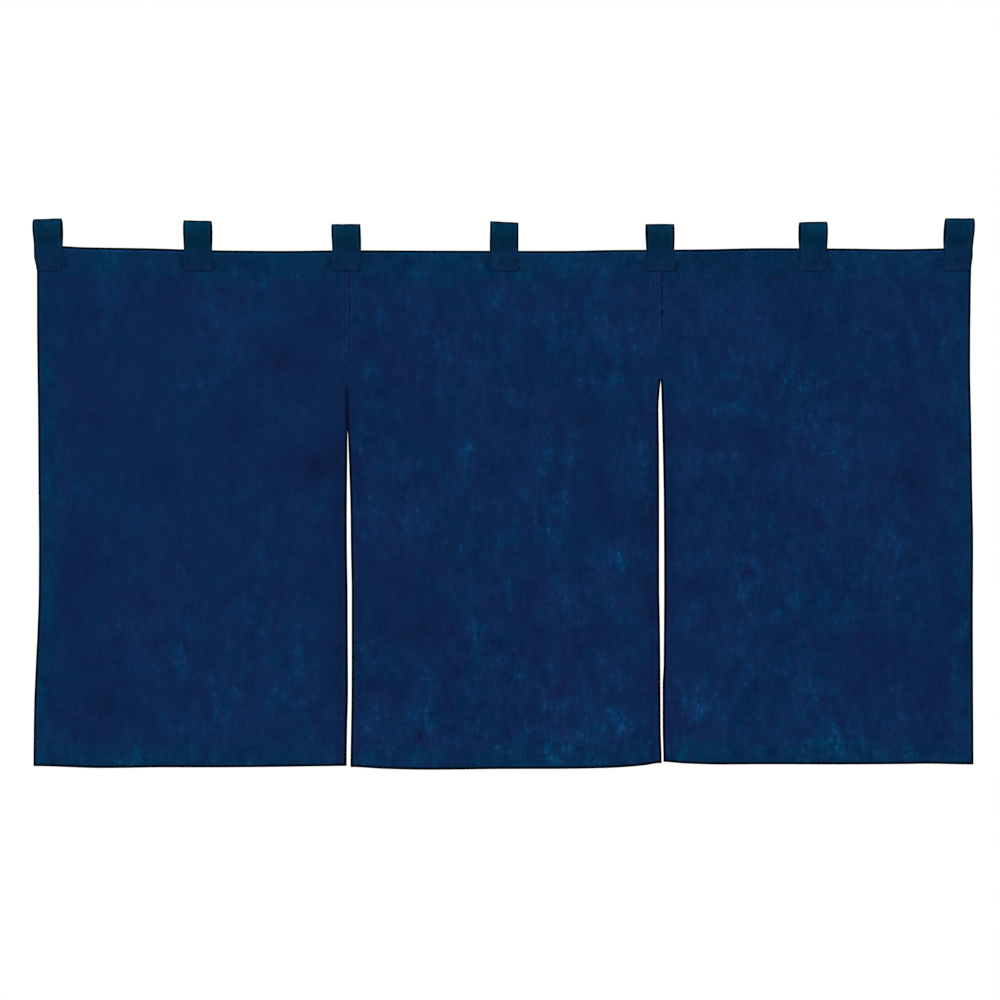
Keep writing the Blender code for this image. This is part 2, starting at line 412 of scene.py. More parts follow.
# The outer edges and both sides of each slit, against the drop below the top edge
LEFT_EDGE = SmoothTable(
    (
        Edge(0, -513.0),
        Edge(22, -510.8),
        Edge(88, -510.6),
        Edge(176, -509.6),
        Edge(263, -509.0),
        Edge(329, -508.5),
        Edge(373, -508.7),
        Edge(417, -510.0),
        Edge(460, -512.1),
        Edge(504, -513.8),
        Edge(566, -514.5),
    )
)
LEFT_SLIT_LEFT_SIDE = SmoothTable(
    (
        Edge(0, -170.5),
        Edge(146, -170.5),
        Edge(196, -170.8),
        Edge(241, -171.4),
        Edge(285, -171.7),
        Edge(329, -171.6),
        Edge(373, -171.0),
        Edge(438, -170.6),
        Edge(482, -170.3),
        Edge(526, -171.3),
        Edge(566, -171.8),
    )
)
LEFT_SLIT_RIGHT_SIDE = SmoothTable(
    (
        Edge(0, -170.2),
        Edge(146, -170.2),
        Edge(196, -170.3),
        Edge(241, -169.0),
        Edge(285, -167.7),
        Edge(329, -167.2),
        Edge(373, -166.3),
        Edge(438, -166.3),
        Edge(482, -166.4),
        Edge(526, -167.0),
        Edge(566, -167.6),
    )
)
RIGHT_SLIT_LEFT_SIDE = SmoothTable(
    (
        Edge(0, 172.0),
        Edge(140, 172.0),
        Edge(155, 170.5),
        Edge(176, 169.3),
        Edge(220, 169.9),
        Edge(285, 170.2),
        Edge(373, 170.3),
        Edge(417, 171.1),
        Edge(460, 171.5),
        Edge(526, 171.7),
        Edge(566, 172.7),
    )
)
RIGHT_SLIT_RIGHT_SIDE = SmoothTable(
    (
        Edge(0, 172.3),
        Edge(140, 172.3),
        Edge(155, 172.9),
        Edge(176, 173.5),
        Edge(220, 174.6),
        Edge(285, 175.8),
        Edge(373, 176.2),
        Edge(417, 175.9),
        Edge(460, 175.5),
        Edge(482, 174.4),
        Edge(526, 174.4),
        Edge(566, 175.2),
    )
)
RIGHT_EDGE = SmoothTable(
    (
        Edge(0, 512.7),
        Edge(22, 511.8),
        Edge(88, 510.8),
        Edge(132, 510.6),
        Edge(198, 511.9),
        Edge(263, 512.8),
        Edge(329, 513.9),
        Edge(395, 513.6),
        Edge(482, 513.8),
        Edge(566, 514.2),
    )
)

# The foot of each panel
LEFT_FOOT = SmoothTable(
    (
        Level(-514.5, -565.4),
        Level(-437.4, -567.5),
        Level(-371.7, -566.5),
        Level(-284.1, -566.3),
        Level(-196.6, -565.5),
        Level(-172.0, -565.1),
    )
)
CENTRE_FOOT = SmoothTable(
    (
        Level(-166.0, -566.4),
        Level(-130.9, -568.1),
        Level(-87.1, -568.9),
        Level(44.2, -568.1),
        Level(109.9, -567.2),
        Level(131.8, -566.3),
        Level(153.7, -564.5),
        Level(171.0, -562.1),
    )
)
RIGHT_FOOT = SmoothTable(
    (
        Level(175.0, -560.6),
        Level(197.5, -562.2),
        Level(241.2, -563.4),
        Level(438.2, -563.0),
        Level(460.1, -562.7),
        Level(514.0, -563.6),
    )
)

# Broad swells of the hanging cloth. Those of every panel lie below the spaces between the tabs.
SWELLS = (
    Swell("every", -418, -55, 78, 62, 0, 2.6),
    Swell("every", -262, -72, 84, 58, 24, 3.8),
    Swell("every", -88, -74, 84, 56, -20, 3.2),
    Swell("every", 85, -60, 80, 64, 0, 3.0),
    Swell("every", 254, -58, 80, 62, 0, 2.6),
    Swell("every", 420, -50, 78, 62, 0, 3.2),
    Swell("left", -469, -165, 46, 124, 0, 2.2),
    Swell("left", -398, -268, 76, 92, 0, -2.2),
    Swell("left", -210, -204, 62, 48, 14, 3.0),
    Swell("left", -200, -318, 58, 66, 8, 2.6),
    Swell("left", -464, -362, 26, 112, -4, -2.4),
    Swell("left", -316, -552, 116, 84, 0, 3.6),
    Swell("left", -169, -345, 34, 190, 0, -3.4),
    Swell("centre", -70, -146, 90, 44, -35, 3.4),
    Swell("centre", -102, -342, 86, 54, -35, 3.2),
    Swell("centre", 105, -322, 82, 50, 40, -2.8),
    Swell("centre", -82, -566, 84, 76, 0, 3.8),
    Swell("centre", 74, -570, 88, 80, 0, 4.2),
    Swell("centre", 172, -376, 36, 214, 0, -3.6),
    Swell("centre", -168, -262, 28, 110, 0, -1.6),
    Swell("right", 266, -150, 90, 52, -12, 2.8),
    Swell("right", 416, -222, 90, 50, -35, 3.4),
    Swell("right", 272, -428, 96, 60, 0, 3.0),
    Swell("right", 412, -446, 74, 46, 15, 2.4),
    Swell("right", 218, -566, 66, 64, 0, 2.8),
    Swell("right", 382, -576, 100, 66, 0, 3.2),
    Swell("right", 176, -345, 32, 172, 0, -2.6),
)

# How far a crease bends and reaches to the side, in half widths, and how far a patch reaches
CREASE_BEND = 0.35
CREASE_REACH = 1.7
PATCH_REACH = 1.6

# Soft creases that lie on the swells
CREASES = (
    Crease("left", -286, -148, -186, -80, 14, -1.3),
    Crease("left", -240, -120, -180, -142, 11, -1.0),
    Crease("left", -252, -226, -178, -238, 20, -1.5),
    Crease("left", -462, -322, -458, -482, 15, -1.1),
    Crease("left", -250, -296, -318, -516, 13, 0.9),
    Crease("left", -196, -342, -186, -494, 13, -0.9),
    Crease("left", -378, -62, -392, -250, 11, -0.7),
    Crease("left", -436, -440, -404, -560, 12, 0.6),
    Crease("centre", -120, -18, -38, -78, 9, -0.8),
    Crease("centre", -152, -60, -58, -108, 13, 0.8),
    Crease("centre", -142, -106, -72, -196, 16, -1.3),
    Crease("centre", -146, -134, -148, -232, 15, 0.9),
    Crease("centre", -160, -336, -70, -428, 24, -1.4),
    Crease("centre", 104, -198, 92, -330, 15, -0.9),
    Crease("centre", 128, -344, 66, -414, 14, 0.8),
    Crease("centre", 4, -392, 40, -446, 12, -0.7),
    Crease("right", 180, -198, 296, -220, 13, -1.0),
    Crease("right", 194, -272, 216, -340, 14, -0.8),
    Crease("right", 334, -108, 468, -134, 11, -0.7),
    Crease("right", 442, -176, 462, -276, 16, -0.9),
    Crease("right", 436, -250, 492, -322, 16, -1.0),
    Crease("right", 258, -330, 262, -420, 14, 0.9),
    Crease("right", 438, -426, 480, -490, 15, -1.1),
    Crease("right", 372, -440, 386, -500, 20, -1.0),
)

# Where the dye took less or more, larger than the mottling that is all over. The deeper patches
# that lie on troughs are painted shade, and the paler ones on ridges painted highlight
PATCHES = (
    Patch(-431, -30, 18, 46, 1.0),
    Patch(-272, -46, 18, 36, 1.0),
    Patch(-316, -78, 22, 22, 0.6),
    Patch(-486, -252, 18, 28, 0.6),
    Patch(-256, -307, 9, 28, 1.0),
    Patch(-403, -438, 14, 32, 0.7),
    Patch(-354, -440, 11, 36, 0.9),
    Patch(-234, -460, 15, 28, 1.1),
    Patch(-316, -493, 22, 36, 0.7),
    Patch(-223, -500, 26, 22, 0.6),
    Patch(-262, -400, 12, 30, 0.6),
    Patch(-480, -90, 16, 60, 0.4),
    Patch(-398, -263, 62, 130, -0.5),
    Patch(-468, -394, 20, 90, -0.6),
    Patch(-234, -128, 44, 13, -0.7),
    Patch(-212, -232, 42, 22, -0.9),
    Patch(-223, -318, 26, 32, -0.6),
    Patch(-290, -190, 40, 30, -0.4),
    Patch(-430, -500, 34, 40, -0.5),
    Patch(-300, -350, 24, 40, -0.5),
    Patch(-194, -400, 14, 90, -0.5),
    Patch(-62, -105, 14, 17, 1.3),
    Patch(-124, -70, 30, 20, 0.5),
    Patch(-146, -160, 16, 36, 0.7),
    Patch(-80, -247, 18, 18, 0.7),
    Patch(-26, -234, 24, 16, 0.5),
    Patch(40, -296, 15, 15, 1.3),
    Patch(122, -342, 15, 22, 0.7),
    Patch(100, -378, 18, 20, 0.4),
    Patch(-26, -438, 36, 30, 0.6),
    Patch(-84, -510, 15, 28, 1.2),
    Patch(45, -493, 26, 22, 1.2),
    Patch(67, -538, 40, 18, 1.0),
    Patch(127, -526, 15, 24, 1.0),
    Patch(96, -80, 46, 40, 0.4),
    Patch(120, -240, 14, 24, 0.4),
    Patch(-80, -190, 26, 26, -0.8),
    Patch(-114, -374, 44, 54, -0.45),
    Patch(-105, -115, 24, 24, 0.5),
    Patch(-80, -420, 30, 26, -0.7),
    Patch(-4, -258, 24, 16, -0.8),
    Patch(106, -278, 22, 38, -0.8),
    Patch(62, -427, 24, 24, -0.8),
    Patch(30, -350, 26, 22, -0.4),
    Patch(150, -440, 14, 80, -0.6),
    Patch(321, -145, 17, 15, 1.4),
    Patch(335, -192, 17, 15, 0.8),
    Patch(368, -203, 17, 15, 0.7),
    Patch(286, -301, 15, 15, 1.3),
    Patch(204, -274, 20, 22, 0.8),
    Patch(264, -362, 15, 26, 1.0),
    Patch(204, -504, 22, 20, 1.3),
    Patch(423, -493, 13, 24, 0.6),
    Patch(368, -537, 26, 18, 0.7),
    Patch(439, -121, 15, 24, 0.6),
    Patch(215, -232, 22, 14, 0.7),
    Patch(423, -318, 17, 20, 0.6),
    Patch(310, -380, 16, 26, 0.6),
    Patch(250, -110, 24, 20, 0.4),
    Patch(456, -232, 18, 50, -0.65),
    Patch(392, -455, 28, 36, -0.75),
    Patch(467, -493, 18, 18, -0.7),
    Patch(204, -449, 30, 18, -0.7),
    Patch(262, -206, 40, 12, -0.5),
    Patch(290, -26, 60, 14, -0.5),
    Patch(340, -260, 26, 20, -0.4),
    Patch(480, -400, 12, 50, -0.4),
    Patch(506, -290, 9, 300, -0.5),
)

# Half of a loop seen from the end, at shares of its height
LOOP = (
    LoopRow(0.14, 3.4),
    LoopRow(0.32, 5.6),
    LoopRow(0.52, 7.2),
    LoopRow(0.70, 7.5),
    LoopRow(0.86, 6.2),
    LoopRow(0.96, 3.6),
)

TABS = (
    TabRow("tab_1", -514.5, -484.0, -513.7, -483.0, 33.2, 34.3, 1.00, 0.4),
    TabRow("tab_2", -349.9, -319.7, -349.7, -319.5, 32.1, 31.3, 0.94, -0.5),
    TabRow("tab_3", -188.1, -157.1, -187.4, -156.3, 27.9, 28.1, 1.05, 0.8),
    TabRow("tab_4", -14.6, 16.1, -15.1, 16.1, 31.2, 29.6, 0.97, 0.3),
    TabRow("tab_5", 155.6, 186.4, 156.3, 186.7, 27.9, 27.9, 1.04, -0.6),
    TabRow("tab_6", 323.8, 354.0, 323.6, 354.0, 30.1, 30.6, 0.96, 0.5),
    TabRow("tab_7", 483.7, 514.6, 482.0, 513.2, 34.3, 34.2, 1.02, -0.3),
)


def relief(key: str, x: np.ndarray, z: np.ndarray) -> np.ndarray:
    """How far the broad swells of one panel stand forward of its plane.

    Args:
        key: The panel's key, or "every" for the swells that all panels share.
        x: Places across.
        z: Heights.

    Returns:
        Lengths towards the front.
    """
    total = np.zeros_like(x)
    for swell in SWELLS:
        if swell.panel not in ("every", key):
            continue
        turn = math.radians(swell.tilt)
        dx = x / MM - swell.x
        dz = z / MM - swell.z
        along = (dx * math.cos(turn) + dz * math.sin(turn)) / swell.half_width
        over = (dz * math.cos(turn) - dx * math.sin(turn)) / swell.half_height
        inside = np.maximum(1.0 - along**2 - over**2, 0.0)
        total += swell.depth * MM * inside**2
    return total * below_heading(z)


def creasing(key: str, x: np.ndarray, z: np.ndarray) -> np.ndarray:
    """How far the soft creases of one panel stand forward of its swells.

    Args:
        key: The panel's key.
        x: Places across.
        z: Heights.

    Returns:
        Lengths towards the front.
    """
    total = np.zeros_like(x)
    for crease in CREASES:
        if crease.panel != key:
            continue
        start = np.array((crease.x, crease.z)) * MM
        step = np.array((crease.end_x, crease.end_z)) * MM - start
        share = ((x - start[0]) * step[0] + (z - start[1]) * step[1]) / (step @ step)
        near = np.clip(share, 0.0, 1.0)
        bend = CREASE_BEND * crease.half_width * MM * np.sin(math.pi * near)
        away = np.hypot(x - start[0] - near * step[0], z - start[1] - near * step[1] - bend)
        total += crease.depth * MM * dip(away, CREASE_REACH * crease.half_width * MM)
    return total * below_heading(z)


def dye_tone_and_painted_shade(x: np.ndarray, z: np.ndarray) -> np.ndarray:
    """How pale or deep the dye is at each point, with painted shade on troughs and painted
    highlight on ridges where patches lie on them.

    Args:
        x: Places across.
        z: Heights.

    Returns:
        Values from about -1, the deepest, to 1, the palest.
    """
    total = np.zeros_like(x)
    for patch in PATCHES:
        dx = (x / MM - patch.x) / (PATCH_REACH * patch.half_width)
        dz = (z / MM - patch.z) / (PATCH_REACH * patch.half_height)
        total += patch.tone * np.maximum(1.0 - dx**2 - dz**2, 0.0) ** 2
    return np.clip(total, -1.2, 1.15)


def tab_shadows(x: np.ndarray, z: np.ndarray) -> np.ndarray:
    """The painted shadow just beside each tab's sewn end: how much darker the heading is there.

    Args:
        x: Places across.
        z: Heights.

    Returns:
        Values from 0 to about 0.6.
    """
    total = np.zeros_like(x)
    for tab in TABS:
        for away in (tab.left_foot * MM - x, x - tab.right_foot * MM):
            total += SHADOW_BESIDE.over(away) * SHADOW_DOWN.over(-z)
    return total * np.clip(0.6 + 2.2 * uneven(x, z, 6 * MM, Seed.SHADOWS), 0.1, 1.3)


def tab_pulls(x: np.ndarray, z: np.ndarray) -> np.ndarray:
    """Small upright folds where each tab draws in the heading.

    Args:
        x: Places across.
        z: Heights.

    Returns:
        Values from about -1 to 1.
    """
    total = np.zeros_like(x)
    strokes = uneven(x, z * 0.3, 8 * MM, Seed.PULLS)
    for tab in TABS:
        for away in (tab.left_foot * MM - x, x - tab.right_foot * MM):
            total += strokes * PULL_BESIDE.over(away) * PULL_DOWN.over(-z)
    return total


@dataclass
class ClothGrid:
    """Two grids of points that share their rim: the near and far faces of one cloth."""

    near: np.ndarray
    far: np.ndarray
    cloth_map: np.ndarray
    marks: dict[str, np.ndarray] = field(default_factory=dict)

    def line(self, face: Face, column: int | slice, row: int | slice, lift: float) -> np.ndarray:
        """A line of points a little above one face, along a column or a row of the grid.

        Args:
            face: The face to follow.
            column: One column, or the span of columns.
            row: One row, or the span of rows.
            lift: How far the line stands off the face.

        Returns:
            The points, one a row.
        """
        top, under = (self.near, self.far) if face is Face.NEAR else (self.far, self.near)
        away = (top - under)[column, row]
        away = away / np.linalg.norm(away, axis=-1, keepdims=True)
        return top[column, row] + away * lift

    def indices(self) -> tuple[np.ndarray, np.ndarray]:
        """The point numbers of the two grids, alike along their rim.

        Returns:
            The numbers of the near grid's points, and of the far grid's.
        """
        columns, rows = self.near.shape[:2]
        near = np.arange(columns * rows).reshape(columns, rows)
        far = near.copy()
        inner = (columns - 2, rows - 2)
        far[1:-1, 1:-1] = columns * rows + np.arange(inner[0] * inner[1]).reshape(inner)
        return near, far

    def outward(self) -> bool:
        """Whether the near face's corners already run anticlockwise from outside.

        Returns:
            True where they do.
        """
        i, j = (n // 2 for n in self.near.shape[:2])
        across = self.near[i + 1, j] - self.near[i, j]
        along = self.near[i, j + 1] - self.near[i, j]
        return float(np.cross(across, along) @ (self.near[i, j] - self.far[i, j])) > 0.0


def four_corners(index: np.ndarray) -> np.ndarray:
    """The corners of every face of a grid of point numbers."""
    corners = (index[:-1, :-1], index[1:, :-1], index[1:, 1:], index[:-1, 1:])
    return np.stack(corners, axis=-1).reshape(-1, 4)


def in_scene(name: str, data: bpy.types.ID) -> bpy.types.Object:
    """Puts an object in the scene, at the origin.

    Args:
        name: The object's name.
        data: Its mesh, light or camera.

    Returns:
        The object.
    """
    made = bpy.data.objects.new(name, data)
    bpy.context.scene.collection.objects.link(made)
    return made


def report(piece: bpy.types.Object) -> None:
    """Logs a finished piece and its number of faces."""
    LOG.info("%s: %d faces", piece.name, len(piece.data.polygons))


def cloth_object(name: str, grids: Sequence[ClothGrid]) -> bpy.types.Object:
    """Makes one object of closed cloth sheets, with their cloth map and marks.

    Args:
        name: The piece's name.
        grids: The sheets, each a closed shell.

    Returns:
        The object, at the origin and smooth.
    """
    points, faces, flat = [], [], []
    marks: dict[str, list[np.ndarray]] = {mark: [] for mark in MARKS}
    count = 0
    for grid in grids:
        near, far = grid.indices()
        inner = (slice(1, -1), slice(1, -1))
        for target, values in ((points, (grid.near, grid.far)), (flat, (grid.cloth_map,) * 2)):
            size = values[0].shape[-1]
            target += [values[0].reshape(-1, size), values[1][inner].reshape(-1, size)]
        for mark in MARKS:
            values = grid.marks.get(mark, np.zeros(near.shape))
            marks[mark] += [values.ravel(), values[inner].ravel()]
        sides = (four_corners(near), four_corners(far)[:, ::-1])
        faces += [side + count if grid.outward() else side[:, ::-1] + count for side in sides]
        count += near.size + values[inner].size
    mesh = bpy.data.meshes.new(name)
    corners = np.concatenate(faces)
    mesh.from_pydata(np.concatenate(points).tolist(), [], corners.tolist())
    layer = mesh.uv_layers.new(name=CLOTH_MAP)
    layer.data.foreach_set("uv", np.concatenate(flat)[corners.ravel()].ravel())
    for mark, values in marks.items():
        attribute = mesh.attributes.new(mark, "FLOAT", "POINT")
        attribute.data.foreach_set("value", np.concatenate(values))
    mesh.shade_smooth()
    mesh.update()
    return in_scene(name, mesh)


@dataclass(frozen=True)
class StitchTree:
    """Geometry Nodes that sew short round stitches along the lines of a mesh."""

    name: str = "sew_along_lines"
    pitch: float = 3.1 * MM
    stitch: float = 2.3 * MM
    thread: float = 0.52 * MM
    seed: int = 7
    sides: int = 6
    rings: int = 4
    uneven: float = 0.14

    def build(self) -> bpy.types.NodeTree:
        """Builds the tree.

        Returns:
            The tree, whose inputs are named for the sizes that they set.
        """
        tree = bpy.data.node_groups.new(self.name, "GeometryNodeTree")
        inputs = {
            "Lines": "Geometry",
            "Pitch": "Float",
            "Stitch length": "Float",
            "Thread thickness": "Float",
            "Seed": "Int",
            "Thread": "Material",
        }
        for label, kind in inputs.items():
            tree.interface.new_socket(label, in_out="INPUT", socket_type=f"NodeSocket{kind}")
        tree.interface.new_socket("Stitches", in_out="OUTPUT", socket_type="NodeSocketGeometry")
        given = tree.nodes.new("NodeGroupInput").outputs
        link = tree.links.new
        add = tree.nodes.new

        curve = add("GeometryNodeMeshToCurve")
        link(given["Lines"], curve.inputs["Mesh"])
        spaced = add("GeometryNodeResampleCurve")
        spaced.mode = "LENGTH"
        link(curve.outputs["Curve"], spaced.inputs["Curve"])
        link(given["Pitch"], spaced.inputs["Length"])

        along = add("FunctionNodeAlignRotationToVector")
        along.axis = "X"
        tangent = add("GeometryNodeInputTangent")
        link(tangent.outputs["Tangent"], along.inputs["Vector"])

        size = add("ShaderNodeCombineXYZ")
        link(given["Stitch length"], size.inputs["X"])
        link(given["Thread thickness"], size.inputs["Y"])
        link(given["Thread thickness"], size.inputs["Z"])
        change = add("FunctionNodeRandomValue")
        change.data_type = "FLOAT_VECTOR"
        change.inputs["Min"].default_value = (1.0 - self.uneven,) * 3
        change.inputs["Max"].default_value = (1.0 + self.uneven,) * 3
        link(given["Seed"], change.inputs["Seed"])
        scale = add("ShaderNodeVectorMath")
        scale.operation = "MULTIPLY"
        link(size.outputs["Vector"], scale.inputs[0])
        link(change.outputs["Value"], scale.inputs[1])

        grain = add("GeometryNodeMeshUVSphere")
        grain.inputs["Segments"].default_value = self.sides
        grain.inputs["Rings"].default_value = self.rings
        grain.inputs["Radius"].default_value = 0.5
        lay = add("GeometryNodeInstanceOnPoints")
        link(spaced.outputs["Curve"], lay.inputs["Points"])
        link(grain.outputs["Mesh"], lay.inputs["Instance"])
        link(along.outputs["Rotation"], lay.inputs["Rotation"])
        link(scale.outputs["Vector"], lay.inputs["Scale"])

        real = add("GeometryNodeRealizeInstances")
        link(lay.outputs["Instances"], real.inputs["Geometry"])
        smooth = add("GeometryNodeSetShadeSmooth")
        link(real.outputs["Geometry"], smooth.inputs["Geometry"])
        finish = add("GeometryNodeSetMaterial")
        link(smooth.outputs["Geometry"], finish.inputs["Geometry"])
        link(given["Thread"], finish.inputs["Material"])
        link(finish.outputs["Geometry"], add("NodeGroupOutput").inputs["Stitches"])
        return tree


@dataclass
class Sewing:
    """The sewing of a whole piece: lines that one tree turns into stitches."""

    tree: bpy.types.NodeTree
    sizes: StitchTree
    thread: bpy.types.Material

    def sew(self, name: str, lines: Sequence[np.ndarray]) -> bpy.types.Object:
        """Makes one plain mesh of stitches.

        Args:
            name: The piece's name.
            lines: The lines to sew along, each with a point a row.

        Returns:
            The stitches, at the origin.
        """
        points = np.concatenate(lines)
        edges = []
        start = 0
        for line in lines:
            edges += [(start + i, start + i + 1) for i in range(len(line) - 1)]
            start += len(line)
        mesh = bpy.data.meshes.new(name)
        mesh.from_pydata(points.tolist(), edges, [])
        made = in_scene(name, mesh)
        modifier = made.modifiers.new("sew", "NODES")
        modifier.node_group = self.tree
        settings = {
            "Pitch": self.sizes.pitch,
            "Stitch length": self.sizes.stitch,
            "Thread thickness": self.sizes.thread,
            "Seed": self.sizes.seed,
            "Thread": self.thread,
        }
        for item in self.tree.interface.items_tree:
            if item.name in settings:
                modifier[item.identifier] = settings[item.name]
        made.update_tag()
        evaluated = made.evaluated_get(bpy.context.evaluated_depsgraph_get())
        sewn = bpy.data.meshes.new_from_object(evaluated)
        made.modifiers.remove(modifier)
        made.data = sewn
        sewn.name = name
        return made


class Term:
    """A shader socket of one number that takes part in plain arithmetic."""

    def __init__(self, finish: "NodeFinish", socket: bpy.types.NodeSocket) -> None:
        """Wraps a socket of one finish."""
        self.finish = finish
        self.socket = socket

    def math(self, operation: str, *values: "Term | float") -> "Term":
        """Adds a Math node.

        Args:
            operation: What the node does.
            values: The values that it takes.

        Returns:
            Its result.
        """
        sockets = dict(enumerate(values))
        node = self.finish.node("ShaderNodeMath", {"operation": operation}, sockets)
        return Term(self.finish, node.outputs[0])

    def __add__(self, other: "Term | float") -> "Term":
        """The sum."""
        return self.math("ADD", self, other)

    def __radd__(self, other: "Term | float") -> "Term":
        """The sum, with the number first."""
        return self.math("ADD", other, self)

    def __sub__(self, other: "Term | float") -> "Term":
        """The difference."""
        return self.math("SUBTRACT", self, other)

    def __rsub__(self, other: "Term | float") -> "Term":
        """The difference, with the number first."""
        return self.math("SUBTRACT", other, self)

    def __mul__(self, other: "Term | float") -> "Term":
        """The product."""
        return self.math("MULTIPLY", self, other)

    def __rmul__(self, other: "Term | float") -> "Term":
        """The product, with the number first."""
        return self.math("MULTIPLY", other, self)

    def cosine(self) -> "Term":
        """The cosine."""
        return self.math("COSINE", self)

    def size(self) -> "Term":
        """The value without its sign."""
        return self.math("ABSOLUTE", self)

    def larger(self, other: "Term | float") -> "Term":
        """The larger of two values."""
        return self.math("MAXIMUM", self, other)

    def on(self, ramp: Ramp) -> "Term":
        """Reads a smooth rise at this value.

        Args:
            ramp: The rise.

        Returns:
            Its level.
        """
        sockets = {"Value": self, "From Min": ramp.low, "From Max": ramp.high, "To Max": ramp.gain}
        node = self.finish.node("ShaderNodeMapRange", {"interpolation_type": "SMOOTHSTEP"}, sockets)
        return Term(self.finish, node.outputs["Result"])


class NodeFinish:
    """The node tree of one material, built from expressions."""

    def __init__(self, name: str) -> None:
        """Starts a material with a single shader.

        Args:
            name: The material's name.
        """
        self.material = bpy.data.materials.new(name)
        self.material.use_nodes = True
        self.tree = self.material.node_tree
        self.shader = self.tree.nodes["Principled BSDF"]
        self.patterns = 0

    def node(
        self,
        kind: str,
        settings: Mapping[str, object] | None = None,
        sockets: Mapping[str | int, object] | None = None,
    ) -> bpy.types.Node:
        """Adds a node.

        Args:
            kind: The node's type.
            settings: Its settings, which are set first.
            sockets: The values or links of its inputs, by name or number.

        Returns:
            The node.
        """
        made = self.tree.nodes.new(kind)
        for key, value in (settings or {}).items():
            setattr(made, key, value)
        for key, value in (sockets or {}).items():
            self.feed(made.inputs[key], value)
        return made

    def feed(self, socket: bpy.types.NodeSocket, value: object) -> None:
        """Links a term or a socket to an input, or sets the input to a plain value.

        Args:
            socket: The input.
            value: What it takes.
        """
        if isinstance(value, Term):
            value = value.socket
        if isinstance(value, bpy.types.NodeSocket):
            self.tree.links.new(value, socket)
        else:
            socket.default_value = value

    def mark(self, name: str) -> Term:
        """The value of a point attribute."""
        node = self.node("ShaderNodeAttribute", {"attribute_name": name})
        return Term(self, node.outputs["Fac"])

    def parts(self, vector: bpy.types.NodeSocket) -> tuple[Term, Term]:
        """The first two parts of a vector."""
        node = self.node("ShaderNodeSeparateXYZ", None, {"Vector": vector})
        return Term(self, node.outputs["X"]), Term(self, node.outputs["Y"])

    def noise(self, vector: bpy.types.NodeSocket, per_metre: Point, detail: float = 2.0) -> Term:
        """Uneven values over the cloth, in a new pattern at each call.

        Args:
            vector: The place that is read.
            per_metre: How many rises there are to a metre, each way.
            detail: How many finer layers there are.

        Returns:
            Values about 0, mostly from -0.3 to 0.3.
        """
        self.patterns += 1
        settings = {"operation": "MULTIPLY_ADD"}
        start = (3.7 * self.patterns, 8.3 * self.patterns, 5.9 * self.patterns)
        place = self.node("ShaderNodeVectorMath", settings, {0: vector, 1: per_metre, 2: start})
        sockets = {"Vector": place.outputs[0], "Scale": 1.0, "Detail": detail, "Roughness": 0.55}
        node = self.node("ShaderNodeTexNoise", {"noise_dimensions": "3D"}, sockets)
        return Term(self, node.outputs["Fac"]) - 0.5

    def layered(self, vector: bpy.types.NodeSocket, layers: Sequence[Layer]) -> Term:
        """The sum of a few layers of uneven values.

        Args:
            vector: The place that is read.
            layers: The layers.

        Returns:
            The sum, about 0.
        """
        total: Term | float = 0.0
        for layer in layers:
            values = self.noise(vector, (layer.across, layer.along, 1.0), layer.detail)
            total = total + values * layer.strength
        return total

    def changed(
        self, colour: bpy.types.NodeSocket, changes: Sequence[tuple[Term, Point]]
    ) -> bpy.types.NodeSocket:
        """A colour whose three parts are changed unevenly.

        Args:
            colour: The colour to change.
            changes: Amounts, each with how far it takes red, green and blue.

        Returns:
            The changed colour.
        """
        kind = "ShaderNodeVectorMath"
        total: object = (1.0, 1.0, 1.0)
        for amount, direction in changes:
            part = self.node(kind, {"operation": "SCALE"}, {0: direction, "Scale": amount})
            total = self.node(kind, {"operation": "ADD"}, {0: total, 1: part.outputs[0]}).outputs[0]
        least = self.node(kind, {"operation": "MAXIMUM"}, {0: total, 1: (0.15, 0.15, 0.15)})
        product = self.node(kind, {"operation": "MULTIPLY"}, {0: colour, 1: least.outputs[0]})
        return product.outputs[0]

    def mixed(self, share: Term | float, start: object, end: object) -> bpy.types.NodeSocket:
        """A colour at a share of the way from start to end."""
        settings = {"data_type": "RGBA"}
        return self.node("ShaderNodeMix", settings, {0: share, 6: start, 7: end}).outputs[2]

    def shaded(self, colour: bpy.types.NodeSocket, by: Term) -> bpy.types.NodeSocket:
        """Makes a colour lighter or darker.

        Args:
            colour: The colour.
            by: What it is multiplied by.

        Returns:
            The new colour.
        """
        settings = {"operation": "SCALE"}
        node = self.node("ShaderNodeVectorMath", settings, {0: colour, "Scale": by})
        return node.outputs[0]

    def bump(self, height: Term, distance: float, strength: float) -> bpy.types.NodeSocket:
        """A normal that is raised by a height."""
        sockets = {"Strength": strength, "Distance": distance, "Height": height}
        return self.node("ShaderNodeBump", None, sockets).outputs["Normal"]


def opaque(colour: Colour) -> tuple[float, float, float, float]:
    """A colour with full alpha."""
    return (*colour, 1.0)


